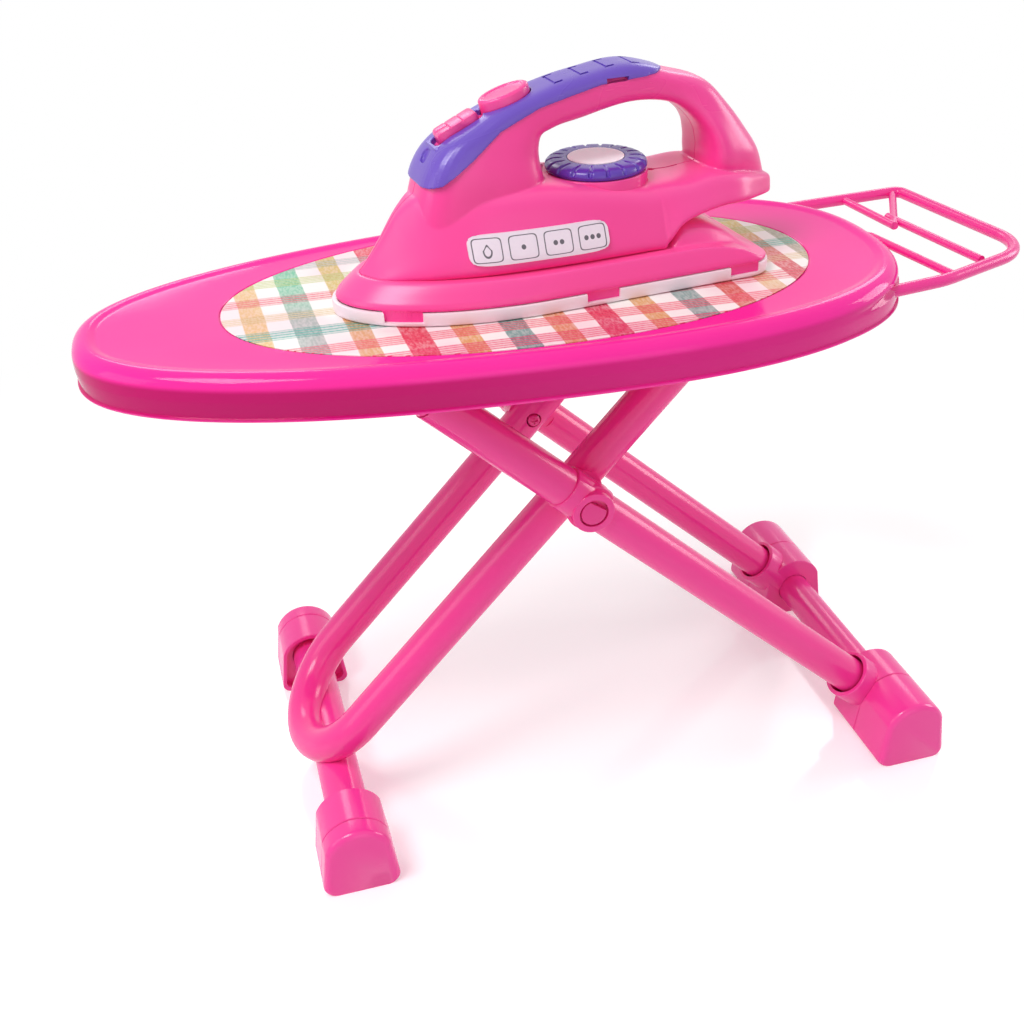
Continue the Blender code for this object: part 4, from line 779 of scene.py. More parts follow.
class Shader(Nodes):
    """The nodes of one material, with a Principled surface."""

    def __init__(self, name: str) -> None:
        """Starts a material.

        Args:
            name: the material's name.
        """
        self.material = bpy.data.materials.new(name)
        super().__init__(self.material)
        self.surface = self.tree.nodes.new("ShaderNodeBsdfPrincipled")
        self.output = self.tree.nodes.new("ShaderNodeOutputMaterial")
        self.tree.links.new(self.surface.outputs[0], self.output.inputs["Surface"])

    def feed(self, **inputs: object) -> None:
        """Sets inputs of the surface; an underscore in a name stands for a space."""
        for key, value in inputs.items():
            self.plug(self.surface.inputs[key.replace("_", " ")], value)

    def place(self) -> Signal:
        """Place on the object at rest, in metres."""
        return self.add("ShaderNodeTexCoord", output="Object")

    def axes(self, place: Optional[Signal] = None) -> tuple[Signal, Signal, Signal]:
        """The three coordinates of a place."""
        node = self.add("ShaderNodeSeparateXYZ", inputs={0: place or self.place()}).socket.node
        return tuple(Signal(self, output) for output in node.outputs)

    def along(self, origin: Vector, axis: Vector) -> Signal:
        """Distance of the surface from an origin along an axis."""
        offset = self.add("ShaderNodeVectorMath", {"operation": "SUBTRACT"},
                          {0: self.place(), 1: tuple(origin)})
        return self.add("ShaderNodeVectorMath", {"operation": "DOT_PRODUCT"},
                        {0: offset, 1: tuple(axis)}, "Value")

    def noise(self, scale: float, detail: float = 2.0,
              stretch: Sequence[float] = (1, 1, 1)) -> Signal:
        """Noise over the object, from 0 to 1.

        Args:
            scale: grains per metre.
            detail: number of finer layers.
            stretch: factors on the three axes.

        Returns:
            The noise.
        """
        place = self.add("ShaderNodeVectorMath", {"operation": "MULTIPLY"},
                         {0: self.place(), 1: tuple(stretch)})
        return self.add("ShaderNodeTexNoise", output="Fac",
                        inputs={"Vector": place, "Scale": scale, "Detail": detail})

    def mix(self, share: Value, first: Paint, second: Paint, blend: str = "MIX") -> Signal:
        """Mixes two colours.

        Args:
            share: how much of the second.
            first: a colour code or signal.
            second: a colour code or signal.
            blend: how the second acts on the first.

        Returns:
            The mixed colour.
        """
        return self.add("ShaderNodeMix", {"data_type": "RGBA", "blend_type": blend},
                        {0: share, 6: first, 7: second}, 2)

    def bump(self, height: Signal, depth: float) -> Signal:
        """A normal bent by a height from 0 to 1, which stands for a depth in metres."""
        return self.add("ShaderNodeBump",
                        inputs={"Strength": 1.0, "Distance": depth, "Height": height})


# Finishes


class Finish:
    """The look of a piece; each kind says how its surface is shaded."""

    def shade(self, shader: Shader) -> None:
        """Feeds the surface of a new material."""
        raise NotImplementedError

    def material(self, name: str) -> bpy.types.Material:
        """A new material with this finish.

        Args:
            name: the material's name.

        Returns:
            The material.
        """
        shader = Shader(name)
        self.shade(shader)
        return shader.material


@dataclass(frozen=True)
class Moulded(Finish):
    """Moulded plastic: even colour with faint drift, fine skin and rubbed patches."""

    colour: str
    deep: str
    roughness: float = 0.22
    drift: float = 0.22
    skin: float = 700.0
    skin_depth: float = 0.00003
    shine: float = 0.5

    def paint(self, shader: Shader) -> Signal:
        """The colour: a slow drift from thin to thick walls and faint flow streaks.

        Args:
            shader: the shader that is being built.

        Returns:
            The colour.
        """
        slow = shader.noise(11.0, 1.0).rise(0.25, 0.8)
        streaks = shader.noise(60.0, 2.0, (0.25, 1.0, 1.0)).rise(0.3, 0.9)
        return shader.mix(slow * self.drift + streaks * (self.drift * 0.35), self.colour, self.deep)

    def relief(self, shader: Shader) -> Signal:
        """The skin's height from 0 to 1: orange peel with finer grain on it."""
        return shader.noise(self.skin, 2.0) * 0.7 + shader.noise(self.skin * 4, 1.0) * 0.3

    def polish(self, shader: Shader) -> Signal:
        """Roughness, with rubbed patches and hair-fine scuffs.

        Args:
            shader: the shader that is being built.

        Returns:
            The roughness.
        """
        rubbed = shader.noise(20.0, 1.0).rise(0.25, 0.85)
        scuffs = shader.noise(520.0, 1.0, (0.06, 1.0, 1.0)).rise(0.66, 0.74)
        return self.roughness + rubbed * 0.05 + scuffs * 0.012

    def shade(self, shader: Shader) -> None:
        """Feeds colour, roughness and skin."""
        shader.feed(Base_Color=self.paint(shader), Roughness=self.polish(shader), IOR=1.5,
                    Normal=shader.bump(self.relief(shader), self.skin_depth),
                    Specular_IOR_Level=self.shine)


@dataclass(frozen=True)
class BoardPlastic(Moulded):
    """The board's shell: hot pink with painted shade on the lower skirt."""

    # Colour of the painted shade on the lower skirt, and the heights that it spans.
    shadow: str = "#C60068"
    shade_band_top: float = 0.2784
    shade_band_foot: float = 0.2640

    def paint(self, shader: Shader) -> Signal:
        """The moulded colour with painted shade on the lower half of the skirt, fading towards +X.

        Args:
            shader: the shader that is being built.

        Returns:
            The colour.
        """
        x, _, z = shader.axes()
        # Painted shade: the lower skirt is mixed towards the shade colour, most at the -X end.
        lower = (1 - z.rise(self.shade_band_top - 0.0018, self.shade_band_top + 0.0012)) * z.rise(
            self.shade_band_foot - 0.0006, self.shade_band_foot + 0.0004)
        return shader.mix(lower * (0.97 - x.rise(-0.15, 0.08) * 0.5), super().paint(shader),
                          self.shadow)


@dataclass(frozen=True)
class BodyPlastic(Moulded):
    """Satin plastic of the iron's body, with painted light where the wall faces up."""

    # Colour of the painted light on faces that look up.
    light: str = "#FF7AB8"

    def paint(self, shader: Shader) -> Signal:
        """The moulded colour with painted light on faces that look up.

        Args:
            shader: the shader that is being built.

        Returns:
            The colour.
        """
        # Painted light: the colour turns lighter as the face's normal points up.
        normal = shader.add("ShaderNodeNewGeometry", output="Normal")
        _, _, up = shader.axes(normal)
        return shader.mix(up.rise(0.2, 1.0) * 0.25, super().paint(shader), self.light)


@dataclass(frozen=True)
class PlatedSteel(Finish):
    """Zinc-plated steel with drawn streaks."""

    colour: str = "#B9BDC4"
    roughness: float = 0.28

    def shade(self, shader: Shader) -> None:
        """Feeds the streaked metal.

        Args:
            shader: the shader that is being built.
        """
        streaks = shader.noise(900.0, 3.0, (0.05, 1.0, 1.0))
        tone = shader.mix(streaks.rise(0.3, 0.7) * 0.4, self.colour, "#8C929B")
        shader.feed(Base_Color=tone, Metallic=1.0, Roughness=self.roughness + streaks * 0.15,
                    Normal=shader.bump(streaks, 0.00002))


@dataclass(frozen=True)
class Band:
    """One stripe of the plaid, which is crayon where it has no drawn lines."""

    middle: float
    width: float
    colour: str
    lines: int = 0
    far_colour: str = ""


@dataclass(frozen=True)
class PlaidCard(Finish):
    """Printed plaid on the inlay: translucent bands of fine drawn lines in both directions."""

    ground: str = "#FAF5F1"
    blush: str = "#F9E2E6"
    slope: float = 0.05
    across: tuple[Band, ...] = ()
    long: tuple[Band, ...] = ()

    def weave(self, shader: Shader, paper: Signal, coordinate: Signal, other: Signal,
              bands: Sequence[Band], crayon: Signal) -> Signal:
        """Prints one set of bands over what is there.

        Args:
            shader: the shader that is being built.
            paper: colour below.
            coordinate: distance across the bands.
            other: distance along them.
            bands: the bands.
            crayon: grain of the crayon strokes, from 0 to 1.

        Returns:
            The colour with the bands on it.
        """
        for band in bands:
            offset = coordinate - band.middle
            inside = 1 - abs(offset).rise(band.width / 2 - 0.0004, band.width / 2 + 0.0002)
            tone: Paint = band.colour
            if band.far_colour:
                tone = shader.mix(other.rise(-0.03, 0.05), band.colour, band.far_colour)
            tint = 0.45 if band.lines else 1.0
            paper = shader.mix(inside * (crayon * 0.28 + 0.70) * tint, paper, tone, "MULTIPLY")
            if band.lines:
                cell = abs(offset.sawtooth(band.width / band.lines) - 0.5)
                stroke = inside * cell.rise(0.30, 0.42)
                paper = shader.mix(stroke * (crayon * 0.2 + 0.86), paper, tone)
        return paper

    def shade(self, shader: Shader) -> None:
        """Feeds the printed card.

        Args:
            shader: the shader that is being built.
        """
        x, y, _ = shader.axes()
        wobble = (shader.noise(70.0, 3.0) - 0.5) * 0.0012
        cells = shader.noise(21.0, 1.0).rise(0.42, 0.6)
        paper = shader.mix(cells, self.ground, self.blush)
        crayon = shader.noise(900.0, 2.0, (1.0, 0.35, 1.0)).rise(0.3, 0.7)
        paper = self.weave(shader, paper, x + y * 0.02 + wobble, y, self.across, crayon)
        paper = self.weave(shader, paper, y + x * self.slope + wobble, x, self.long, crayon)
        fibre = shader.noise(1500.0, 2.0, (0.3, 1.0, 1.0))
        tone = shader.mix(fibre.rise(0.3, 0.8) * 0.06, paper, "#D9CFC8", "MULTIPLY")
        shader.feed(Base_Color=tone, Roughness=0.42 + fibre * 0.2,
                    Normal=shader.bump(fibre, 0.00003), Coat_Weight=0.25, Coat_Roughness=0.2)


# Sub-assemblies


@dataclass
class BoardTop:
    """Moulded deck with its rim, skirt and ribs, and the printed inlay set into it."""

    length: float = 0.4116
    half_width: float = 0.0969
    taper: float = 0.168
    power: float = 2.442
    centre_x: float = -0.0395
    top_z: float = 0.2842
    skirt_depth: float = 0.0215
    skirt_wall: float = 0.0026
    deck_wall: float = 0.0022
    skirt_lip: float = 0.0011
    skirt_draft: float = 0.0010
    crease_depth: float = 0.0022
    crease_height: float = 0.0092
    socket_swell: float = 0.0016
    swell_start: float = 0.72
    swell_blend: float = 0.22
    rim_width: float = 0.0094
    rim_rise: float = 0.0012
    rim_rounding: float = 0.0076
    rib_depth: float = 0.0024
    rib_thickness: float = 0.0020
    rib_count: int = 5
    rib_span: float = 0.74
    long_rib_y: float = 0.0240
    boss_radius: float = 0.0040
    boss_x: tuple[float, float] = (-0.14248, 0.01830)
    boss_y: float = 0.0130
    inlay_length: float = 0.2978
    inlay_half_width: float = 0.0826
    inlay_power: float = 2.09
    inlay_taper: float = 0.063
    inlay_shift: float = 0.0128
    inlay_thickness: float = 0.0005
    inlay_gap: float = 0.0007
    inlay_bevel: float = 0.00012
    steps: int = 240

    @property
    def deck_z(self) -> float:
        """Height of the deck inside the rim."""
        return self.top_z - self.rim_rise

    @property
    def ceiling_z(self) -> float:
        """Height of the hollow's ceiling under the deck."""
        return self.deck_z - self.inlay_thickness - FIT - self.deck_wall

    def outline(self) -> Ring:
        """The board's outline."""
        return egg_outline(self.centre_x, self.length, self.half_width, self.power, self.taper,
                           self.steps)

    def inlay_outline(self) -> Ring:
        """The inlay's outline."""
        return egg_outline(self.centre_x + self.inlay_shift, self.inlay_length,
                           self.inlay_half_width, self.inlay_power, self.inlay_taper, self.steps)

    def rings(self) -> list[Ring]:
        """Sections from the hollow's ceiling, round skirt and rim, to the inlay's recess.

        Returns:
            The sections, in the order in which they are skinned.
        """
        outline = self.outline()
        places = [(p.x - self.centre_x) / (self.length / 2) for p in outline]
        ends = [ease((place - self.swell_start) / self.swell_blend) for place in places]
        foot_z = self.top_z - self.skirt_depth
        crease_z = self.top_z - self.crease_height
        wall, lip = self.skirt_wall, self.skirt_lip
        draft, swell = self.skirt_draft, self.socket_swell

        def ring(z: float, inset: float, crease: float = 0.0, bulge: float = 0.0) -> Ring:
            """The outline at a height, moved in, creased and swollen at the rack's end."""
            insets = [inset + (crease - bulge) * end for end in ends]
            return at_height(inset_outline(outline, insets), z)

        rings = [ring(self.ceiling_z - drop, wall + fillet) for drop, fillet in (
            (0.0, 0.0030), (0.0004, 0.0012), (0.0013, 0.0003), (0.0030, 0.0))]
        rings += [ring(foot_z + lip * up, inset, bulge=swell * share) for up, inset, share in (
            (1.0, wall, 0.0), (0.3, wall - lip * 0.15, 0.0), (0.0, wall - lip * 0.55, 0.0),
            (0.0, lip * 0.75, 0.5), (0.3, lip * 0.3, 0.85), (0.9, 0.0, 1.0), (1.4, 0.0002, 1.0),
            (1.8, draft, 1.0), (2.6, draft, 0.95))]
        for share in (0.25, 0.5, 0.75, 0.9):
            z = foot_z + lip * 2.6 + (crease_z - self.crease_depth - foot_z - lip * 2.6) * share
            rings.append(ring(z, draft * (1 - share) ** 1.2, bulge=swell * (1 - share * 0.5)))
        for share in (-1.0, -0.6, -0.25, 0.0, 0.2, 0.5):
            depth = 1 - ease(abs(share))
            rings.append(ring(crease_z + self.crease_depth * share, 0.0,
                              crease=self.crease_depth * depth, bulge=swell * 0.5 * ease(-share)))
        round_z, rounding = self.top_z - self.rim_rounding, self.rim_rounding
        for degrees in (6, 14, 24, 36, 48, 60, 70, 78, 84, 90):
            angle = math.radians(degrees)
            rings.append(ring(round_z + rounding * math.sin(angle),
                              rounding * (1 - math.cos(angle))))
        inner = self.rim_width - rounding
        for share, drop in ((0.3, 0.03), (0.7, 0.14), (1.2, 0.36), (1.8, 0.68), (2.3, 0.9),
                            (2.8, 1.0)):
            rings.append(ring(self.top_z - self.rim_rise * drop, rounding + inner * share))
        recess = inset_outline(self.inlay_outline(), -self.inlay_gap)
        return rings + [at_height(inset_outline(recess, -0.0004), self.deck_z),
                        at_height(recess, self.deck_z - 0.0003),
                        at_height(recess, self.deck_z - (self.inlay_thickness + FIT))]

    def ribs(self) -> list[Shape]:
        """Cross ribs, long ribs and screw bosses under the deck.

        Returns:
            The ribs and bosses, to be fused with the shell.
        """
        low, top = self.ceiling_z - self.rib_depth, self.ceiling_z + self.deck_wall / 2
        span, half = self.length * self.rib_span, self.rib_thickness / 2
        ribs: list[Shape] = []
        for i in range(self.rib_count):
            x = self.centre_x - span / 2 + span * i / (self.rib_count - 1)
            along = (x - self.centre_x) / (self.length / 2)
            reach = self.half_width * (1 - abs(along) ** self.power) ** (1 / self.power)
            reach = reach * (1 + self.taper * along) - self.skirt_wall * 3
            ribs.append(Shape.block("rib", Vector((x - half, -reach, low)),
                                    Vector((x + half, reach, top))))
        for side in Side:
            y = side.value * self.long_rib_y
            ribs.append(Shape.block("rib", Vector((self.centre_x - span / 2, y - half, low)),
                                    Vector((self.centre_x + span / 2, y + half, top))))
        for x in self.boss_x:
            for side in Side:
                foot = side.at(Vector((x, 0, low)), self.boss_y)
                ribs.append(Shape.rod("boss", foot, foot + Vector((0, 0, top - low)),
                                      self.boss_radius, 24))
        return ribs

    def build(self, rack_holes: Shape) -> None:
        """Makes the shell and the inlay.

        Args:
            rack_holes: the rack, grown by its clearance, which is cut out of the skirt.
        """
        shell = Shape.loft("board_shell", self.rings()).join(*self.ribs()).cut(rack_holes)
        finish = BoardPlastic("#FF2CA2", "#F51C90", shine=0.2, roughness=0.09, skin_depth=0.000015)
        shell.seat(Body.BOARD, Slot.GLOSS_PINK, finish.material("board_pink"), "board_top_shell",
                   angle=30)
        inlay = self.inlay_outline()
        base_z, bevel = self.deck_z - self.inlay_thickness, self.inlay_bevel
        card = Shape.loft("plaid_inlay", [at_height(inlay, base_z),
                                          at_height(inlay, self.deck_z - bevel),
                                          at_height(inset_outline(inlay, bevel), self.deck_z)])
        plaid = PlaidCard(across=PLAID_ACROSS, long=PLAID_LONG)
        card.seat(Body.BOARD, Slot.PLAID, plaid.material("plaid_card"), "cover_inlay")


PLAID_ACROSS = (
    Band(-0.1610, 0.0110, "#E6C27A"), Band(-0.1385, 0.0125, "#A9B8B6", far_colour="#63C9A0"),
    Band(-0.1155, 0.0105, "#DFA56A", far_colour="#D2C45C"), Band(-0.0925, 0.0125, "#E3174C"),
    Band(-0.0700, 0.0105, "#E3A85C"), Band(-0.0475, 0.0120, "#6FA09C"),
    Band(-0.0265, 0.0105, "#E0915C"), Band(-0.0050, 0.0120, "#DD1C5C"),
    Band(0.0175, 0.0105, "#E0A45C"), Band(0.0400, 0.0120, "#7FA3A0"),
    Band(0.0625, 0.0105, "#D9604C"), Band(0.0840, 0.0105, "#E6C490"),
    Band(0.1020, 0.0105, "#D42C48", far_colour="#D2C45C"), Band(0.1180, 0.0070, "#A9A48C"),
)
PLAID_LONG = (
    Band(0.0740, 0.0100, "#E6C27A", 4), Band(0.0510, 0.0095, "#A9B8B6", 4),
    Band(0.0305, 0.0105, "#BFCB7C", 5), Band(0.0070, 0.0105, "#E2335E", 4, "#35B39C"),
    Band(-0.0145, 0.0090, "#DBC08E", 4), Band(-0.0360, 0.0115, "#16A79B", 4, "#E2335E"),
    Band(-0.0580, 0.0105, "#EB4568", 5), Band(-0.0760, 0.0110, "#E8346E", 5),
)


@dataclass
class IronRack:
    """Moulded rod frame at the wide end of the board, with its bars and brace."""

    reach: float = 0.0790
    root_depth: float = 0.0640
    z: float = 0.2720
    tip_x: float = 0.2453
    board_half_width: float = 0.0969
    rod_radius: float = 0.0032
    bar_radius: float = 0.0022
    corner_radius: float = 0.0055
    tip_radius: float = 0.0300
    bend_radius: float = 0.0600

    FRAME = ((0.853, 0.848), (1.0355, -0.291), (0.214, -0.537))
    ROOTS = (0.778, -0.645)
    BARS = (((0.378, 0.82), (0.434, 0.297)), ((0.770, 0.80), (0.434, 0.297)),
            ((0.489, 0.456), (0.618, -0.35)))
    HOOK = (0.237, (0.173, 0.213), (0.305, -0.48))

    def at(self, x_share: float, y_share: float) -> Vector:
        """A point in the rack's plane by shares of its reach and of the board's half width."""
        start = self.tip_x - self.rod_radius - self.reach
        return Vector((start + self.reach * x_share, self.board_half_width * y_share, self.z))

    def rods(self, name: str, grow: float = 0.0) -> Shape:
        """The rods as one piece.

        Args:
            name: the piece's name.
            grow: clearance added to every radius.

        Returns:
            The fused rods.
        """
        back = -self.root_depth / self.reach
        outer = [self.at(back, self.ROOTS[0]), *(self.at(*place) for place in self.FRAME),
                 self.at(back, self.ROOTS[1])]
        bends = (self.corner_radius, self.tip_radius, self.bend_radius)
        frame = Shape.sweep(name, rounded_path(outer, bends), self.rod_radius + grow, 24)
        root, *hook = self.HOOK
        bars = [[self.at(*place) for place in bar] for bar in self.BARS]
        bars.append(rounded_path([self.at(back, root), *(self.at(*place) for place in hook)],
                                 [self.bar_radius * 2], 6))
        return frame.join(*[Shape.sweep("bar", path, self.bar_radius + grow, 20) for path in bars])

    def build(self) -> None:
        """Makes the rack."""
        finish = Moulded("#F72E96", "#E01E80", roughness=0.2, skin_depth=0.00002)
        self.rods("iron_rest_rack").seat(Body.BOARD, Slot.GLOSS_PINK, finish.material("rack_pink"),
                                         "iron_rack")


TUBE_FINISH = Moulded("#FB3898", "#F0288A", roughness=0.2, skin_depth=0.00002)
FOOT_FINISH = Moulded("#FA3F9F", "#EB2C8E", roughness=0.2, skin_depth=0.00002)


@dataclass
class LegPlan:
    """Places that both leg frames share, in the side view, with the tube's sizes."""

    pivot: Vector
    hinge: Vector
    slide_rod: Vector
    tube_radius: float = 0.0103
    inner_y: float = 0.0410
    outer_y: float = 0.0628
    eye_neck: float = 0.0140
    gap: float = FIT
    pin_radius: float = 0.0040
    hub_face_y: float = 0.0745
    recess_radius: float = 0.0075
    recess_depth: float = 0.0034
    washer: float = 0.0014
    neck_share: float = 0.94

    PIVOT = (-0.0143, 0.0, 0.1858)
    INNER_RUN = 0.9597
    OUTER_RUN = 1.0697
    HINGE_Z = 0.2580
    SLIDE_Z = 0.2660

    @classmethod
    def standing(cls) -> "LegPlan":
        """The plan of the standing board.

        Returns:
            The plan.
        """
        pivot = Vector(cls.PIVOT)
        inner, outer = cls.direction(cls.INNER_RUN, 1), cls.direction(cls.OUTER_RUN, -1)
        return cls(pivot, pivot + inner * ((cls.HINGE_Z - pivot.z) / inner.z),
                   pivot + outer * ((cls.SLIDE_Z - pivot.z) / outer.z))

    @staticmethod
    def direction(run: float, sign: int) -> Vector:
        """Direction up a leg that runs so far sideways for each unit of height."""
        return Vector((sign * run, 0, 1)).normalized()

    @property
    def inner_up(self) -> Vector:
        """Direction up the inner leg."""
        return (self.hinge - self.pivot).normalized()

    @property
    def outer_up(self) -> Vector:
        """Direction up the outer legs."""
        return (self.slide_rod - self.pivot).normalized()

    def across(self, name: str, side: Side, start: float, end: float, radius: float,
               rounding: float = 0.0) -> Shape:
        """A rod along the scissor axis between two distances from the middle plane."""
        return Shape.cross_rod(name, self.pivot, side, start, end, radius, rounding=rounding)

    def eye(self, name: str, centre: Vector, up: Vector, tube_y: float, side: Side, width: float,
            bore_radius: float) -> Shape:
        """Eye at the top of a tube.

        Args:
            name: the piece's name.
            centre: the rod's place in the middle plane.
            up: direction up the tube.
            tube_y: the tube's distance from the middle plane.
            side: its side.
            width: width of the knuckle, which stays flush with the tube's inner side.
            bore_radius: radius of the bore.

        Returns:
            The eye.
        """
        tube = side.at(centre, tube_y)
        inner = tube_y - self.tube_radius
        knuckle = Shape.cross_rod(name, centre, side, inner, inner + width, self.tube_radius,
                                  rounding=BAR_EDGE)
        neck = Shape.rod("neck", tube - up * self.tube_radius / 2, tube - up * self.eye_neck,
                         self.tube_radius * self.neck_share, 40)
        reach = self.tube_radius * 2
        bore = Shape.cross_rod("bore", centre, side, inner - reach, inner + width + reach,
                               bore_radius, 32)
        return knuckle.join(neck).cut(bore)


@dataclass
class FootForm:
    """D-shaped foot on its cross bar: flat floor, flared flanks and a round top."""

    x: float
    bar_radius: float
    bar_z: float
    inner_y: float
    cap_y: float
    half_width: float = 0.0204
    dome_radius: float = 0.0186
    ridge: float = 21.0
    height: float = 0.0400
    corner: float = 0.0045
    end_y: float = 0.1059
    end_rounding: float = 0.0036
    wall: float = 0.0024
    seam: float = 0.0005
    bar_short: float = 0.0065

    @property
    def axis(self) -> Vector:
        """The middle of the cross bar."""
        return Vector((self.x, 0, self.bar_z))

    @property
    def bar_end_y(self) -> float:
        """Distance of the cross bar's ends from the middle plane."""
        return self.end_y - self.bar_short

    @staticmethod
    def flank(start: tuple[float, float], end: tuple[float, float]) -> list[tuple[float, float]]:
        """Points down a flank, close together at its ends so that the ridges stay crisp."""
        return [(start[0] + (end[0] - start[0]) * t, start[1] + (end[1] - start[1]) * t)
                for t in (0.03, 0.09, 0.5, 0.91, 0.97)]

    def section(self, y: float, inset: float = 0.0, lift: float = 0.0) -> Ring:
        """The foot's section at one place along its bar.

        Args:
            y: place along the bar.
            inset: how far the section is drawn in.
            lift: extra height of its floor.

        Returns:
            The section.
        """
        dome = arc((0, self.height - self.dome_radius), self.dome_radius, self.ridge,
                   180 - self.ridge, 40)
        left = arc((-self.half_width + self.corner, self.corner), self.corner, 176, 270, 10)
        right = [(-a, b) for a, b in reversed(left)]
        points = (dome + self.flank(dome[-1], left[0]) + left + right
                  + self.flank(right[-1], dome[0]))
        share, rise = 1 - inset / self.half_width, 1 - (inset + lift) / self.height
        return [Vector((self.x + a * share, y, b * rise + lift)) for a, b in points]

    def length(self, name: str, side: Side) -> Shape:
        """The length inside the end cap, with a fine chamfer at both faces.

        Args:
            name: the piece's name.
            side: its side.

        Returns:
            The length of foot.
        """
        inner, outer, seam = self.inner_y, self.cap_y, self.seam
        stations = ((inner, seam), (inner + seam, 0.0), (outer - seam, 0.0), (outer, seam))
        return Shape.loft(name, [self.section(side.value * y, inset) for y, inset in stations])

    def cap(self, name: str, side: Side) -> Shape:
        """Closed end cap with a rounded edge round its flat end face.

        Args:
            name: the piece's name.
            side: its side.

        Returns:
            The cap.
        """
        rings = [self.section(side.value * (self.cap_y + FIT), self.seam),
                 self.section(side.value * (self.cap_y + FIT + self.seam))]
        for degrees in (0, 15, 30, 45, 60, 75, 90):
            angle = math.radians(degrees)
            y = self.end_y - self.end_rounding * (1 - math.sin(angle))
            rings.append(self.section(side.value * y, self.end_rounding * (1 - math.cos(angle))))
        return Shape.loft(name, rings)

    def bar(self, name: str) -> Shape:
        """Cross bar that ends inside both end caps."""
        end = self.bar_end_y
        return Shape.cross_rod(name, self.axis, Side.FAR, -end, end, self.bar_radius, 56, BAR_EDGE)

    def bar_bore(self, side: Side, start: float, end: Optional[float] = None) -> Shape:
        """Bore for the cross bar, which ends just past it unless an end is given."""
        end = self.bar_end_y + FIT if end is None else end
        return Shape.cross_rod("bore", self.axis, side, start, end, self.bar_radius + FIT)


INNER_FOOT = FootForm(x=-0.1530, bar_radius=0.0115, bar_z=0.0215, inner_y=0.0708, cap_y=0.0938)
OUTER_FOOT = FootForm(x=0.1670, bar_radius=0.0100, bar_z=0.0190, inner_y=0.0494, cap_y=0.0745)


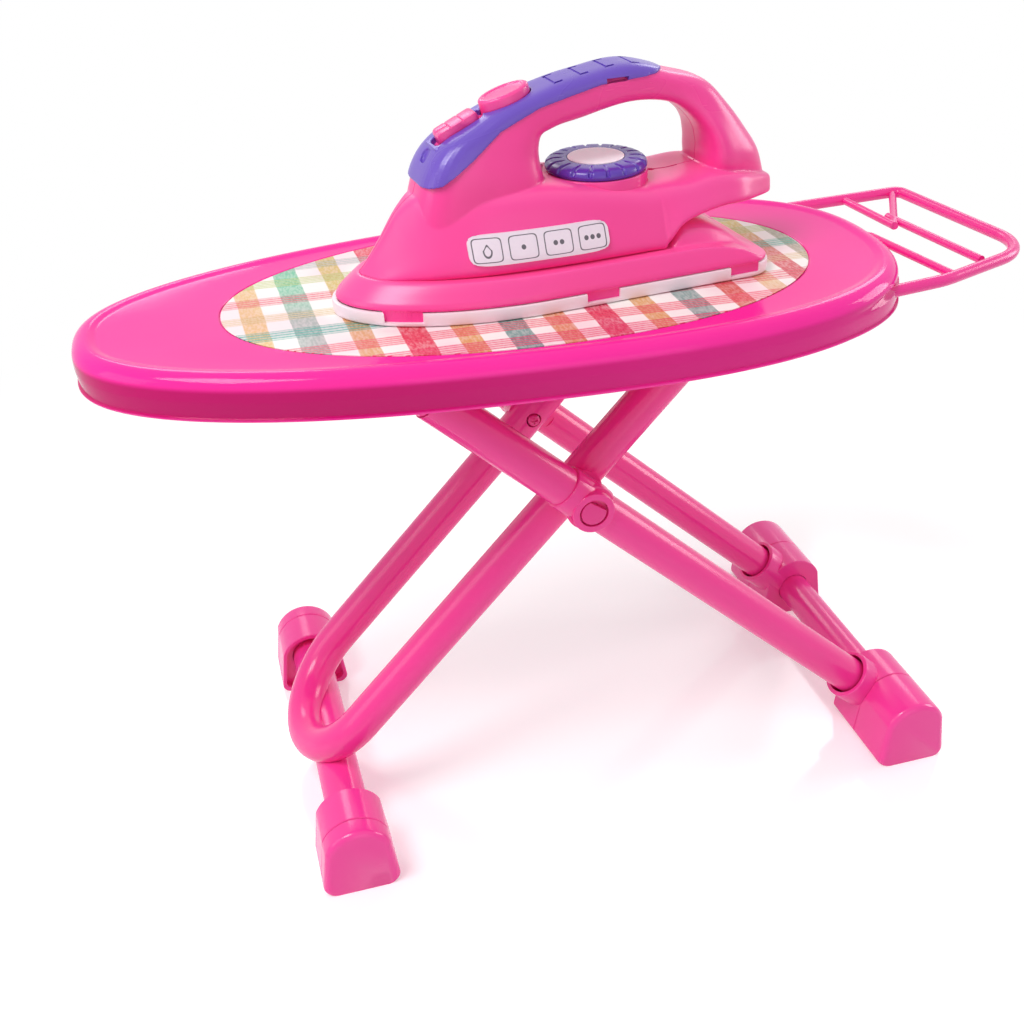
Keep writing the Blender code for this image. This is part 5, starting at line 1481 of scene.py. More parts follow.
@dataclass
class InnerLeg:
    """U-bent leg frame with its foot, its hinge eyes and the scissor pins."""

    plan: LegPlan
    foot: FootForm
    bend_start_z: float = 0.0577
    pocket: float = 0.0050
    boss_radius: float = 0.0120
    shaft_radius: float = 0.0030
    pin_head_radius: float = 0.0066
    pin_head_height: float = 0.0030
    pin_flat: float = 0.62
    pin_lean: float = 35.0
    pilot_radius: float = 0.0013
    pin_flat_reach: float = 0.012
    saddle_y: float = 0.08
    sleeve_bore: tuple[float, float] = (0.05, 0.10)
    cap_bore: float = 0.08

    SCREW = ((0.0, 0.0008), (0.0, 0.0021), (0.0002, 0.0027), (0.0006, 0.0032), (0.0010, 0.0034),
             (0.0046, 0.0034), (0.0046, 0.0011), (0.0100, 0.0011))
    CROSS = (0.0019, 0.0004, 0.0009)

    def frame_path(self) -> Ring:
        """Centre line of the tube, from the near eye round the bend to the far eye.

        Returns:
            The path's points.
        """
        plan = self.plan
        up = plan.inner_up
        bend = plan.hinge - up * ((plan.hinge.z - self.bend_start_z) / up.z)
        top = plan.hinge - up * (plan.eye_neck + plan.gap)
        path = [Side.NEAR.at(top, plan.inner_y)]
        for i in range(37):
            angle = math.radians(-90 + 5 * i)
            path.append(bend + Vector((0, math.sin(angle) * plan.inner_y, 0))
                        - up * (math.cos(angle) * plan.inner_y))
        return path + [Side.FAR.at(top, plan.inner_y)]

    def build_frame(self, finish: bpy.types.Material) -> None:
        """Makes the bent tube, with its pivot bosses and the saddle on the foot bar.

        Args:
            finish: the tube's material.
        """
        plan = self.plan
        frame = Shape.sweep("inner_leg_tube", self.frame_path(), plan.tube_radius, 40)
        face = plan.inner_y + plan.tube_radius + plan.gap / 3
        frame.join(*[plan.across("boss", side, plan.inner_y, face, self.boss_radius)
                     for side in Side])
        frame.cut(*[plan.across("bore", side, plan.inner_y - plan.tube_radius * 1.5, face * 1.1,
                                plan.pin_radius + plan.gap) for side in Side])
        frame.cut(Shape.cross_rod("saddle", self.foot.axis, Side.FAR, -self.saddle_y, self.saddle_y,
                                  self.foot.bar_radius + plan.gap))
        frame.seat(Body.INNER_LEG, Slot.GLOSS_PINK, finish, "inner_leg_frame")
        for side in Side:
            eye = plan.eye("inner_hinge_eye_" + side.word, plan.hinge, plan.inner_up, plan.inner_y,
                           side, plan.tube_radius * 2, self.shaft_radius + plan.gap)
            eye.seat(Body.INNER_LEG, Slot.GLOSS_PINK, finish, "inner_leg_eye_" + side.word)

    def build_foot(self, finish: bpy.types.Material) -> None:
        """Makes the foot bar with its cup sleeves and end caps.

        Args:
            finish: the foot's material.
        """
        foot = self.foot
        bar = foot.bar("inner_foot_crossbar")
        bar.seat(Body.INNER_LEG, Slot.FOOT_PINK, finish, "inner_foot_bar")
        for side in Side:
            sleeve = foot.length("inner_foot_cup_" + side.word, side)
            ends = (foot.inner_y - OVERRUN, foot.inner_y + self.pocket)
            pocket = Shape.loft("pocket", [foot.section(side.value * y, foot.wall, foot.wall)
                                           for y in ends])
            sleeve.cut(pocket, foot.bar_bore(side, *self.sleeve_bore))
            sleeve.seat(Body.INNER_LEG, Slot.FOOT_PINK, finish, "inner_foot_sleeve_" + side.word)
            cap = foot.cap("inner_foot_end_" + side.word, side)
            cap.cut(foot.bar_bore(side, self.cap_bore))
            cap.seat(Body.INNER_LEG, Slot.FOOT_PINK, finish, "inner_foot_cap_" + side.word)

    def build_screw(self, side: Side, finish: bpy.types.Material) -> None:
        """Makes the cross-head screw that holds a pin from the inner side of its tube.

        Args:
            side: the screw's side.
            finish: its material.
        """
        plan, axis = self.plan, Vector((0, side.value, 0))
        face = plan.inner_y - plan.tube_radius - 0.0008
        middle = side.at(plan.pivot, face)
        screw = Shape.turned("cross_head_screw_" + side.word, self.SCREW, middle, axis, 48)
        length, width, depth = self.CROSS
        for half in (Vector((length, depth, width)), Vector((width, depth, length))):
            screw.cut(Shape.block("slot", middle - half, middle + half))
        screw.seat(Body.INNER_LEG, Slot.GLOSS_PINK, finish, "pivot_screw_" + side.word)

    def build_pins(self, finish: bpy.types.Material) -> None:
        """Makes the scissor pins, whose heads carry one flat each.

        Args:
            finish: material of the pins and of their screws.
        """
        plan = self.plan
        base = plan.hub_face_y - plan.recess_depth + plan.gap
        turn = math.radians(self.pin_lean)
        lean = Vector((math.sin(turn), 0, math.cos(turn)))
        sideways = Vector((lean.z, 0, -lean.x))
        radius = self.pin_head_radius
        for side in Side:
            pin = plan.across("scissor_pin_" + side.word, side, base, base + self.pin_head_height,
                              radius, SHOULDER)
            centre = side.at(plan.pivot, base - OVERRUN) + lean * radius * self.pin_flat
            around = [sideways * -2 * radius, sideways * 2 * radius,
                      (sideways + lean) * 2 * radius, (lean - sideways) * 2 * radius]
            pin.cut(Shape.prism("flat", [centre + c for c in around],
                                Vector((0, side.value * self.pin_flat_reach, 0))))
            pin.join(plan.across("shank", side, plan.inner_y - plan.tube_radius / 2,
                                 base + self.pin_head_height / 2, plan.pin_radius))
            pin.cut(plan.across("pilot", side, plan.inner_y - plan.tube_radius,
                                plan.inner_y + 0.001, self.pilot_radius))
            pin.seat(Body.INNER_LEG, Slot.GLOSS_PINK, finish, "pivot_pin_" + side.word)
            self.build_screw(side, finish)

    def build(self) -> None:
        """Makes the whole inner leg."""
        self.build_frame(TUBE_FINISH.material("leg_pink"))
        self.build_foot(FOOT_FINISH.material("foot_pink"))
        self.build_pins(Moulded("#F22F8E", "#D92279", roughness=0.24).material("pin_pink"))


@dataclass
class OuterLegs:
    """The two straight legs with their hubs, foot couplers, caps and cross bar."""

    plan: LegPlan
    foot: FootForm
    hub_radius: float = 0.0109
    step_radius: float = 0.0124
    step_height: float = 0.0062
    sleeve_radius: float = 0.0114
    sleeve_back: float = 0.0170
    sleeve_front: float = 0.0080
    socket_radius: float = 0.0142
    bore_radius: float = 0.0119
    socket_reach: float = 0.0290
    socket_seat: float = 0.0116
    rod_radius: float = 0.0032
    eye_width: float = 0.0120
    hub_edge: float = 0.0007

    def up_the_leg(self, side: Side, distance: float) -> Vector:
        """A point on the leg's centre line, measured from beside the foot bar.

        Args:
            side: the leg's side.
            distance: how far up the leg.

        Returns:
            The point.
        """
        plan = self.plan
        along = (plan.pivot - self.foot.axis).dot(plan.outer_up)
        return side.at(plan.pivot, plan.outer_y) - plan.outer_up * (along - distance)

    def socket(self, name: str, side: Side, start: float, end: float, radius: float,
               rounding: float = 0.0) -> Shape:
        """A rod on the leg's centre line."""
        return Shape.rod(name, self.up_the_leg(side, start), self.up_the_leg(side, end), radius, 48,
                         rounding)

    def build_tube(self, side: Side, finish: bpy.types.Material) -> None:
        """Makes one tube with the sleeve and the stepped hub of its pivot, and its eye.

        Args:
            side: the leg's side.
            finish: its material.
        """
        plan = self.plan
        up = plan.outer_up
        top = side.at(plan.slide_rod, plan.outer_y) - up * (plan.eye_neck + plan.gap)
        tube = Shape.rod("outer_leg_bar_" + side.word, self.up_the_leg(side, self.socket_seat), top,
                         plan.tube_radius, 48)
        pivot = side.at(plan.pivot, plan.outer_y)
        sleeve = Shape.rod("sleeve", pivot - up * self.sleeve_front, pivot + up * self.sleeve_back,
                           self.sleeve_radius, 48, self.hub_edge)
        step = plan.across("step", side, plan.outer_y, plan.outer_y + self.step_height,
                           self.step_radius, SHOULDER)
        hub = plan.across("hub", side, plan.outer_y, plan.hub_face_y, self.hub_radius,
                          self.hub_edge)
        tube.join(sleeve, step, hub)
        flat_y = plan.inner_y + plan.tube_radius + plan.gap * 2 + plan.washer
        tube.cut(plan.across("face", side, plan.inner_y, flat_y,
                             self.sleeve_back + plan.tube_radius / 2),
                 plan.across("bore", side, plan.inner_y, plan.hub_face_y + OVERRUN,
                             plan.pin_radius + plan.gap),
                 plan.across("recess", side, plan.hub_face_y - plan.recess_depth,
                             plan.hub_face_y + OVERRUN, plan.recess_radius))
        tube.seat(Body.OUTER_LEG, Slot.GLOSS_PINK, finish, "outer_leg_tube_" + side.word)
        eye = plan.eye("outer_slide_eye_" + side.word, plan.slide_rod, up, plan.outer_y, side,
                       self.eye_width, self.rod_radius + plan.gap)
        eye.seat(Body.OUTER_LEG, Slot.GLOSS_PINK, finish, "outer_leg_eye_" + side.word)

    def build_foot(self, side: Side, finish: bpy.types.Material) -> None:
        """Makes one coupler with its slanted socket, and the end cap beside it.

        Args:
            side: the leg's side.
            finish: the foot's material.
        """
        foot, past = self.foot, self.socket_reach + OVERRUN
        coupler = foot.length("outer_foot_socket_" + side.word, side)
        coupler.join(self.socket("socket", side, self.socket_seat / 4, self.socket_reach,
                                 self.socket_radius, SHOULDER))
        coupler.cut(self.socket("bore", side, self.socket_seat - FIT, past, self.bore_radius),
                    foot.bar_bore(side, foot.inner_y - OVERRUN, foot.cap_y + OVERRUN))
        coupler.seat(Body.OUTER_LEG, Slot.FOOT_PINK, finish, "outer_foot_coupler_" + side.word)
        cap = foot.cap("outer_foot_end_" + side.word, side)
        cap.cut(foot.bar_bore(side, foot.cap_y - OVERRUN),
                self.socket("notch", side, -self.plan.tube_radius / 2, past,
                            self.socket_radius + FIT))
        cap.seat(Body.OUTER_LEG, Slot.FOOT_PINK, finish, "outer_foot_cap_" + side.word)

    def build(self) -> None:
        """Makes both legs and their cross bar."""
        tube, foot = TUBE_FINISH.material("outer_leg_pink"), FOOT_FINISH.material("outer_foot_pink")
        for side in Side:
            self.build_tube(side, tube)
            self.build_foot(side, foot)
        bar = self.foot.bar("outer_foot_crossbar")
        bar.seat(Body.OUTER_LEG, Slot.FOOT_PINK, foot, "outer_foot_bar")


@dataclass
class IronForm:
    """The toy iron's sizes and sections: x runs from nose to heel, z up from the sole."""

    length: float = 0.2130
    half_width: float = 0.0465
    height: float = 0.1030
    seat_point: tuple[float, float, float] = (-0.1230, -0.0120, 0.2833)
    yaw: float = 5.34
    nose_share: float = 0.446
    nose_power: float = 0.52
    heel_corner: float = 0.0140
    hull_power: float = 6.0
    grip_power: float = 3.2
    dial_share: float = 0.6385
    dial_z: float = 0.0510
    level_share: float = 0.742
    level_height: float = 0.175
    cover_share: float = 0.789
    button_share: float = 0.425
    button_half: tuple[float, float] = (0.0125, 0.00875)
    switch_share: float = 0.312
    cutter_half: float = 0.06
    outline_points: int = 200

    HULL = (
        (0.066, 0.175, 0.183, 0.065, 0.026), (0.085, 0.175, 0.222, 0.247, 0.034),
        (0.117, 0.175, 0.306, 0.402, 0.054), (0.169, 0.175, 0.451, 0.557, 0.108),
        (0.225, 0.175, 0.515, 0.677, 0.258), (0.329, 0.175, 0.515, 0.796, 0.473),
        (0.469, 0.175, 0.515, 0.860, 0.559), (0.587, 0.175, 0.485, 0.871, 0.581),
        (0.704, 0.175, 0.445, 0.860, 0.581), (0.742, 0.175, 0.444, 0.848, 0.574),
        (0.779, 0.252, 0.444, 0.820, 0.566), (0.822, 0.283, 0.443, 0.780, 0.559),
        (0.892, 0.296, 0.455, 0.690, 0.516), (0.962, 0.291, 0.430, 0.595, 0.473),
        (1.023, 0.277, 0.393, 0.400, 0.330), (1.070, 0.267, 0.359, 0.220, 0.190),
        (1.085, 0.277, 0.320, 0.100, 0.080),
    )
    GRIP = (
        (0.350, 0.365, 0.164, 90, 0.490, 0.490), (0.357, 0.553, 0.140, 82, 0.473, 0.473),
        (0.376, 0.673, 0.112, 79, 0.409, 0.409), (0.423, 0.755, 0.077, 74, 0.351, 0.351),
        (0.495, 0.806, 0.049, 42, 0.312, 0.312), (0.592, 0.847, 0.045, 9, 0.290, 0.290),
        (0.704, 0.878, 0.042, 2, 0.286, 0.286), (0.805, 0.839, 0.034, -12, 0.258, 0.280),
        (0.871, 0.779, 0.041, -31.7, 0.247, 0.344), (0.915, 0.685, 0.044, -57.7, 0.247, 0.441),
        (0.945, 0.583, 0.057, -75.6, 0.258, 0.516), (0.965, 0.481, 0.075, -86.4, 0.280, 0.527),
        (0.980, 0.350, 0.088, -90, 0.194, 0.430),
    )
    HEEL = (
        (0.734, 0.090, 0.158, 0.882, 0.817), (0.746, 0.090, 0.172, 0.882, 0.796),
        (0.779, 0.090, 0.245, 0.871, 0.731), (0.808, 0.090, 0.258, 0.871, 0.688),
        (0.859, 0.090, 0.241, 0.860, 0.645), (0.915, 0.083, 0.180, 0.817, 0.602),
        (0.958, 0.078, 0.112, 0.774, 0.581), (0.981, 0.073, 0.087, 0.731, 0.559),
    )
    REAR_EDGE = ((0.800, 0.173), (0.870, 0.158), (0.915, 0.135), (0.958, 0.090), (1.010, 0.074))
    COVER_EDGE = ((0.134, 0.466), (0.172, 0.532), (0.244, 0.572), (0.315, 0.664), (0.385, 0.764),
                  (0.479, 0.838), (0.624, 0.900), (0.761, 0.916), (0.789, 0.931))

    @property
    def frame(self) -> Matrix:
        """From the iron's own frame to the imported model's."""
        return Matrix.Translation(self.seat_point) @ Matrix.Rotation(math.radians(self.yaw), 4, "Z")

    @property
    def dial_place(self) -> Vector:
        """Foot of the dial's axis."""
        return Vector((self.length * self.dial_share, 0, self.dial_z))

    def sections(self, rows: Sequence[Row], points: int = 72) -> list[Ring]:
        """Sections across the iron, narrower at the roof than at the floor.

        Args:
            rows: station, floor, roof and two half widths, as shares.
            points: points of each section.

        Returns:
            The sections.
        """
        rings: list[Ring] = []
        for station, floor, roof, floor_half, roof_half in rows:
            low, high = self.height * floor, self.height * roof
            flare = roof_half - floor_half
            ring = [Vector((self.length * station,
                            out * self.half_width * (floor_half + flare * (up + 1) / 2),
                            (low + high) / 2 + up * (high - low) / 2))
                    for out, up in squircle(self.hull_power, points * 6)]
            rings.append(resample(ring, points))
        return rings

    def grip_rows(self, steps: int = 8) -> list[tuple[Vector, float, float, float, float]]:
        """Stations of the handle: centre, half thickness, direction and two half widths."""
        return [(Vector((self.length * x, 0, self.height * z)), self.length * thick,
                 math.radians(turn), self.half_width * outside, self.half_width * inside)
                for x, z, thick, turn, outside, inside in smooth_rows(self.GRIP, steps)]

    def grip_sections(self, grow: float, power: float, points: int = 64) -> list[Ring]:
        """Sections of the handle square to its path.

        Args:
            grow: distance added all round.
            power: squareness of the section.
            points: points of each section.

        Returns:
            The sections, from the front of the body to its heel.
        """
        rings: list[Ring] = []
        for centre, thick, turn, outside, inside in self.grip_rows():
            outward = Vector((-math.sin(turn), 0, math.cos(turn)))
            ring = [centre + outward * (out * (thick + grow))
                    + Vector((0, across * (inside + (outside - inside) * (out + 1) / 2 + grow), 0))
                    for across, out in squircle(power, points * 6)]
            rings.append(resample(ring, points))
        return rings

    def crest(self, share: float) -> tuple[Vector, Vector, Vector]:
        """The handle's crest at a share of the length.

        Args:
            share: the place along the iron.

        Returns:
            The point with its tangent and normal.
        """
        line = [centre + Vector((-math.sin(turn), 0, math.cos(turn))) * thick
                for centre, thick, turn, _, _ in self.grip_rows(2)]
        for before, after in zip(line, line[1:]):
            if before.x <= self.length * share < after.x:
                along = (self.length * share - before.x) / (after.x - before.x)
                tangent = (after - before).normalized()
                return before.lerp(after, along), tangent, Vector((-tangent.z, 0, tangent.x))
        raise ValueError("no crest at this share")

    def crest_frame(self, share: float) -> Matrix:
        """A frame on the crest: x along it, y across and z out of it.

        Args:
            share: the place along the iron.

        Returns:
            The frame.
        """
        point, tangent, normal = self.crest(share)
        turn = Matrix((tangent, Vector((0, 1, 0)), normal)).transposed().to_4x4()
        return Matrix.Translation(point) @ turn

    def outline(self, nose: float, heel: float, half_width: float, corner: float) -> Ring:
        """Outline with a pointed round nose, straight sides and a square heel.

        Args:
            nose: station of the nose.
            heel: station of the heel.
            half_width: half width at the heel.
            corner: radius of the heel's corners.

        Returns:
            The outline, counter-clockwise from the middle of the heel.
        """
        side: list[tuple[float, float]] = []
        for i in range(97):
            share = 1 - math.cos(math.radians(90) * i / 96)
            side.append((nose + self.length * self.nose_share * share,
                         half_width * (1 - (1 - share) ** 2) ** self.nose_power))
        side += arc((heel - corner, half_width - corner), corner, 90, 0, 16)
        far = [Vector((x, y, 0)) for x, y in reversed(side)]
        near = [Vector((x, -y, 0)) for x, y in side[1:]]
        return resample([Vector((heel, 0, 0))] + far + near, self.outline_points)

    def sole_outline(self, inset: float = 0.0) -> Ring:
        """The sole's outline, drawn in by a distance."""
        return self.outline(inset, self.length - inset, self.half_width - inset,
                            self.heel_corner - inset)

    def side_region(self, name: str, edge: Sequence[tuple[float, float]], top: float) -> Shape:
        """Everything above an edge in the side view.

        Args:
            name: the shape's name.
            edge: pairs of shares of length and height.
            top: height of the region over the edge's ends.

        Returns:
            The region.
        """
        y = -self.cutter_half
        line = [Vector((self.length * x, y, self.height * z)) for x, z in edge]
        roof = [Vector((end.x, y, top)) for end in (line[-1], line[0])]
        return Shape.prism(name, line + roof, Vector((0, self.cutter_half * 2, 0)))

    def under(self, end: float, top: float) -> Shape:
        """A generous box below a height, up to a place along the iron, to cut it level."""
        return Shape.block("level", Vector((-0.05, -0.08, -0.02)), Vector((end, 0.08, top)))


@dataclass
class IronBase:
    """White sole tray with clip windows and the pink skirt with its raised heel."""

    form: IronForm
    sole_height: float = 0.0063
    bevel: float = 0.0012
    wall: float = 0.0022
    floor: float = 0.0020
    top: float = 0.0177
    inset: float = 0.0051
    nose: float = 0.0135
    window_low: float = 0.0019
    window_high: float = 0.0070
    WINDOWS = ((0.082, 0.160), (0.521, 0.601), (0.878, 0.953))

    def strip(self, shares: tuple[float, float], side: Side, insets: tuple[float, float],
              heights: tuple[float, float]) -> Shape:
        """A strip that follows the sole's edge.

        Args:
            shares: its ends along the iron.
            side: its side.
            insets: its outer and inner distance from the edge.
            heights: its floor and roof.

        Returns:
            The strip.
        """
        form = self.form
        stations = [form.length * (shares[0] + (shares[1] - shares[0]) * i / 12) for i in range(13)]

        def edge(x: float, inset: float) -> Vector:
            """The sole's edge at a station.

            Args:
                x: the station.
                inset: distance inside the edge.

            Returns:
                The point.
            """
            share = min(x / (form.length * form.nose_share), 1.0)
            reach = form.half_width * (1 - (1 - share) ** 2) ** form.nose_power - inset
            return Vector((x, side.value * reach, heights[0]))

        outer = [edge(x, insets[0]) for x in stations]
        inner = [edge(x, insets[1]) for x in reversed(stations)]
        return Shape.prism("strip", outer + inner, Vector((0, 0, heights[1] - heights[0])))

    def build_sole(self) -> None:
        """Makes the tray with its six windows."""
        form, bevel, height = self.form, self.bevel, self.sole_height
        profile = ((bevel, 0.0), (bevel * 0.55, bevel * 0.12), (bevel * 0.15, bevel * 0.5),
                   (0.0, bevel), (0.0, height - 0.0008), (0.0002, height - 0.0002),
                   (0.0007, height),
                   (self.wall, height), (self.wall, self.floor))
        sole = Shape.loft("iron_sole_tray", [at_height(form.sole_outline(inset), z)
                                             for inset, z in profile])
        heights = (self.window_low, self.window_high)
        sole.cut(*[self.strip(shares, side, (-OVERRUN, self.wall + 0.0006), heights)
                   for shares in self.WINDOWS for side in Side])
        finish = Moulded("#F6E6EE", "#EBCBDA", roughness=0.3, skin_depth=0.00002)
        sole.place(form.frame).seat(Body.IRON, Slot.SOLE, finish.material("sole_white"),
                                    "iron_soleplate")

    def build_skirt(self, finish: bpy.types.Material) -> None:
        """Makes the skirt: a rounded shoulder, a sloping rear, the raised heel and the hooks.

        Args:
            finish: its material.
        """
        form, low = self.form, self.sole_height + FIT
        rise = self.top - low
        profile = ((0.0006, 0.0), (0.0006, 0.12), (0.0011, 0.30), (0.0020, 0.48), (0.0030, 0.68),
                   (0.0040, 0.86), (0.0046, 0.95), (self.inset, 1.0))
        rings: list[Ring] = []
        for inset, share in profile:
            forward = self.nose * (inset / self.inset) ** 0.9
            outline = form.outline(forward, form.length - inset, form.half_width - inset,
                                   form.heel_corner)
            rings.append(at_height(outline, low + rise * share))
        skirt = Shape.loft("iron_sole_skirt", rings)
        skirt.cut(form.side_region("wedge", form.REAR_EDGE, 0.06))
        skirt.join(Shape.loft("heel", form.sections(smooth_rows(form.HEEL, 4), 64)))
        skirt.soften(voxel=0.0007, times=8, hold=0.00025)
        skirt.cut(form.under(0.3, low + 0.0001))
        skirt.join(*[self.strip(shares, side, (0.0019, 0.0052), (self.floor - 0.0001, low + 0.0011))
                     for shares in self.WINDOWS for side in Side])
        skirt.place(form.frame).seat(Body.IRON, Slot.IRON_PINK, finish, "iron_base_skirt")

    def build(self, finish: bpy.types.Material) -> None:
        """Makes the sole and the skirt."""
        self.build_sole()
        self.build_skirt(finish)


@dataclass
class IronBody:
    """Hollow-looking body in two halves, the purple cover on its handle and the label plate."""

    form: IronForm
    seam: float = 0.0003
    well_radius: float = 0.0267
    boss_radius: float = 0.0252
    boss_depth: float = 0.0140
    cover_sunk: float = 0.0024
    cover_proud: float = 0.0006
    cover_wall: float = 0.0018
    cover_power: float = 4.2
    cover_tip: float = 0.0105
    cover_tip_half: float = 0.275
    dial_seat: float = 0.0006
    dial_reach: float = 0.012
    hole_gap: float = 0.0005
    ribs: int = 4
    rib_start: float = 0.528
    rib_pitch: float = 0.0128
    rib_half: float = 0.0075
    rib_line: float = 0.0006
    label_start: float = 0.0590
    label_length: float = 0.0675
    label_top: float = 0.0370
    label_height: float = 0.0135
    label_proud: float = 0.0009
    label_sunk: float = 0.0002
    label_columns: int = 72
    label_rows: int = 18
    keyhole_radius: float = 0.0017
    slot_share: float = 0.663
    slot_height: float = 0.905

    LATCH = (0.0295, 0.0355, 0.0440)
    WELL = (0.0300, 0.0148, -0.0052, -0.0004)
    TROUGH = (0.0263, 0.0113, -0.0034, 0.008, 0.0030)
    DIMPLE = (0.238, 0.0070, 0.0075, -0.0008, 0.006, 0.0032)

    def edge_height(self, x: float) -> float:
        """Height of the cover's lower edge at a station, or far above where there is no cover.

        Args:
            x: the station.

        Returns:
            The height.
        """
        edge = [(self.form.length * a, self.form.height * b) for a, b in self.form.COVER_EDGE]
        if x < edge[0][0] or x > edge[-1][0]:
            return 1.0
        for (xa, za), (xb, zb) in zip(edge, edge[1:]):
            if xa <= x <= xb:
                return za + (zb - za) * (x - xa) / (xb - xa)
        return 1.0

    def core(self) -> Shape:
        """Body and handle as one smooth skin, with a flat seat for the dial.

        Returns:
            The skin, still in one piece.
        """
        form = self.form
        dial = form.dial_place
        body = Shape.loft("core", form.sections(self.deeper(smooth_rows(form.HULL, 8)), 144))
        body.join(Shape.loft("grip", form.grip_sections(0.0, form.grip_power, 96)))
        body.soften(voxel=0.0007, times=12, hold=0.0005)
        stations = [row[0] for row in form.grip_rows(4)]

        def settle(p: Vector) -> Vector:
            """Levels the dial's seat and sinks the skin under the cover.

            Args:
                p: a point of the skin.

            Returns:
                Its new place.
            """
            level = dial.z - self.dial_seat
            near_dial = math.hypot(p.x - dial.x, p.y) < self.well_radius
            if level < p.z < dial.z + self.dial_reach and near_dial:
                return Vector((p.x, p.y, level))
            margin = -0.0002 if self.in_slot(p) else 0.0012
            over = min(p.z - self.edge_height(p.x) - margin,
                       form.length * form.cover_share - 0.0012 - p.x)
            if over > 0:
                nearest = min(stations, key=lambda s: (s - p).length_squared)
                inward = Vector((nearest.x - p.x, -p.y, nearest.z - p.z))
                return p + inward.normalized() * self.cover_sunk * ease(over / 0.0008)
            return p

        body.move_points(settle)
        foot = form.under(form.length * form.level_share, form.height * form.level_height - 0.0002)
        collar = Shape.rod("boss", dial - Vector((0, 0, self.boss_depth)),
                           dial - Vector((0, 0, 0.0002)), self.boss_radius, 144, 0.0005)
        return body.cut(foot, *self.latch(body)).join(collar)

    def latch(self, body: Shape) -> list[Shape]:
        """Cutters of the keyhole and the slit on the seam behind the dial.

        Args:
            body: the skin that they cut.

        Returns:
            The cutters.
        """
        tree, dial = body.tree(), self.form.dial_place
        near, middle, far = (dial.x + reach for reach in self.LATCH)
        above = self.form.height * 0.62
        low, high = (tree.ray_cast(Vector((x, 0.0003, above)), Vector((0, 0, -1)))[0].z
                     for x in (near, middle))
        end = low + (high - low) * (far - near) / (middle - near)
        half, depth, over = 0.0006, 0.0014, 0.006
        slit = Shape.prism("slit", [Vector((x, -half, z)) for x, z in (
            (near, low - depth), (far, end - depth), (far, end + over), (near, low + over))],
                           Vector((0, half * 2, 0)))
        keyhole = Shape.rod("keyhole", Vector((near, 0, low - depth)),
                            Vector((near, 0, low + over)), self.keyhole_radius, 32)
        return [slit, keyhole]

    def deeper(self, rows: Sequence[Row]) -> list[list[float]]:
        """The hull's rows with a lower floor where it meets the skirt, to be cut level later."""
        return [[station, floor - 0.02 if station < self.form.level_share else floor, *rest]
                for station, floor, *rest in rows]

    def build_halves(self, finish: bpy.types.Material) -> None:
        """Splits the body on its middle plane into two halves with chamfered edges.

        Args:
            finish: their material.
        """
        core = self.core()
        for side in Side:
            bm = bmesh.new()
            bm.from_mesh(core.thing.data)
            for reach, clear in ((self.seam / 2 + 0.0004, False), (self.seam / 2, True)):
                bmesh.ops.bisect_plane(
                    bm, geom=bm.verts[:] + bm.edges[:] + bm.faces[:], dist=0.00001,
                    plane_co=Vector((0, side.value * reach, 0)),
                    plane_no=Vector((0, side.value, 0)), clear_inner=clear)
            bm.normal_update()
            rim = [e for e in bm.edges if e.is_boundary]
            for vertex in {v for e in rim for v in e.verts}:
                inward = Vector((vertex.normal.x, 0, vertex.normal.z))
                vertex.co -= inward.normalized() * 0.0003
            bmesh.ops.triangle_fill(bm, edges=rim, use_beauty=True,
                                    normal=Vector((0, -side.value, 0)))
            half = Shape.of("iron_shell_" + side.word, bm)
            half.place(self.form.frame).seat(Body.IRON, Slot.IRON_PINK, finish,
                                             "iron_body_" + side.word + "_half")
        bpy.data.objects.remove(core.thing)

    def build_cover(self) -> None:
        """Makes the cover: an arched shell with shingle ribs, a button hole and a switch trough."""
        form = self.form
        cover = Shape.loft("iron_handle_cover",
                           form.grip_sections(self.cover_proud, self.cover_power))
        cover.keep_inside(form.side_region("region", form.COVER_EDGE, 0.13), self.plan_region())
        cover.cut(Shape.loft("inside", form.grip_sections(-self.cover_wall, form.grip_power)))
        cover.join(self.crest_box(form.switch_share, *self.WELL))
        cover.cut(self.crest_box(form.switch_share, *self.TROUGH), self.button_hole(self.hole_gap),
                  self.crest_box(*self.DIMPLE))
        cover.soften(voxel=0.00045, times=6, hold=0.0002)
        cover.cut(self.side_slot(), *[self.rib(i) for i in range(self.ribs)])
        finish = Moulded("#6F4FC0", "#5B3CAC", roughness=0.26, drift=0.3, skin_depth=0.00001)
        cover.place(form.frame).seat(Body.IRON, Slot.PURPLE, finish.material("handle_purple"),
                                     "iron_grip_cover", angle=50)

    def plan_region(self) -> Shape:
        """The cover's outline from above, with a round rear end.

        Returns:
            Everything inside the outline.
        """
        end, half = self.form.length * self.form.cover_share, 0.030
        round_off, width = self.cover_tip, self.form.half_width * self.cover_tip_half
        outline = [Vector((0.01, -half, 0)), Vector((end - round_off, -half, 0))]
        outline += [Vector((end - round_off + a, b, 0)) for a, b in
                    [(round_off * math.cos(math.radians(d)), width * math.sin(math.radians(d)))
                     for d in range(-90, 91, 10)]]
        outline += [Vector((end - round_off, half, 0)), Vector((0.01, half, 0))]
        return Shape.prism("plan", at_height(outline, 0.02), Vector((0, 0, 0.11)))

    def crest_box(self, share: float, length: float, width: float, low: float, high: float,
                  corner: float = 0.0) -> Shape:
        """A block on the crest with optional round corners in plan.

        Args:
            share: the place along the iron.
            length: size along the crest.
            width: size across it.
            low: its floor, measured from the crest.
            high: its roof.
            corner: radius of its corners.

        Returns:
            The block.
        """
        if corner:
            outline = rounded_plan(length / 2, width / 2, corner, low, 6)
        else:
            outline = rectangle(-length / 2, -width / 2, length / 2, width / 2, low)
        box = Shape.prism("box", outline, Vector((0, 0, high - low)))
        return box.place(self.form.crest_frame(share))

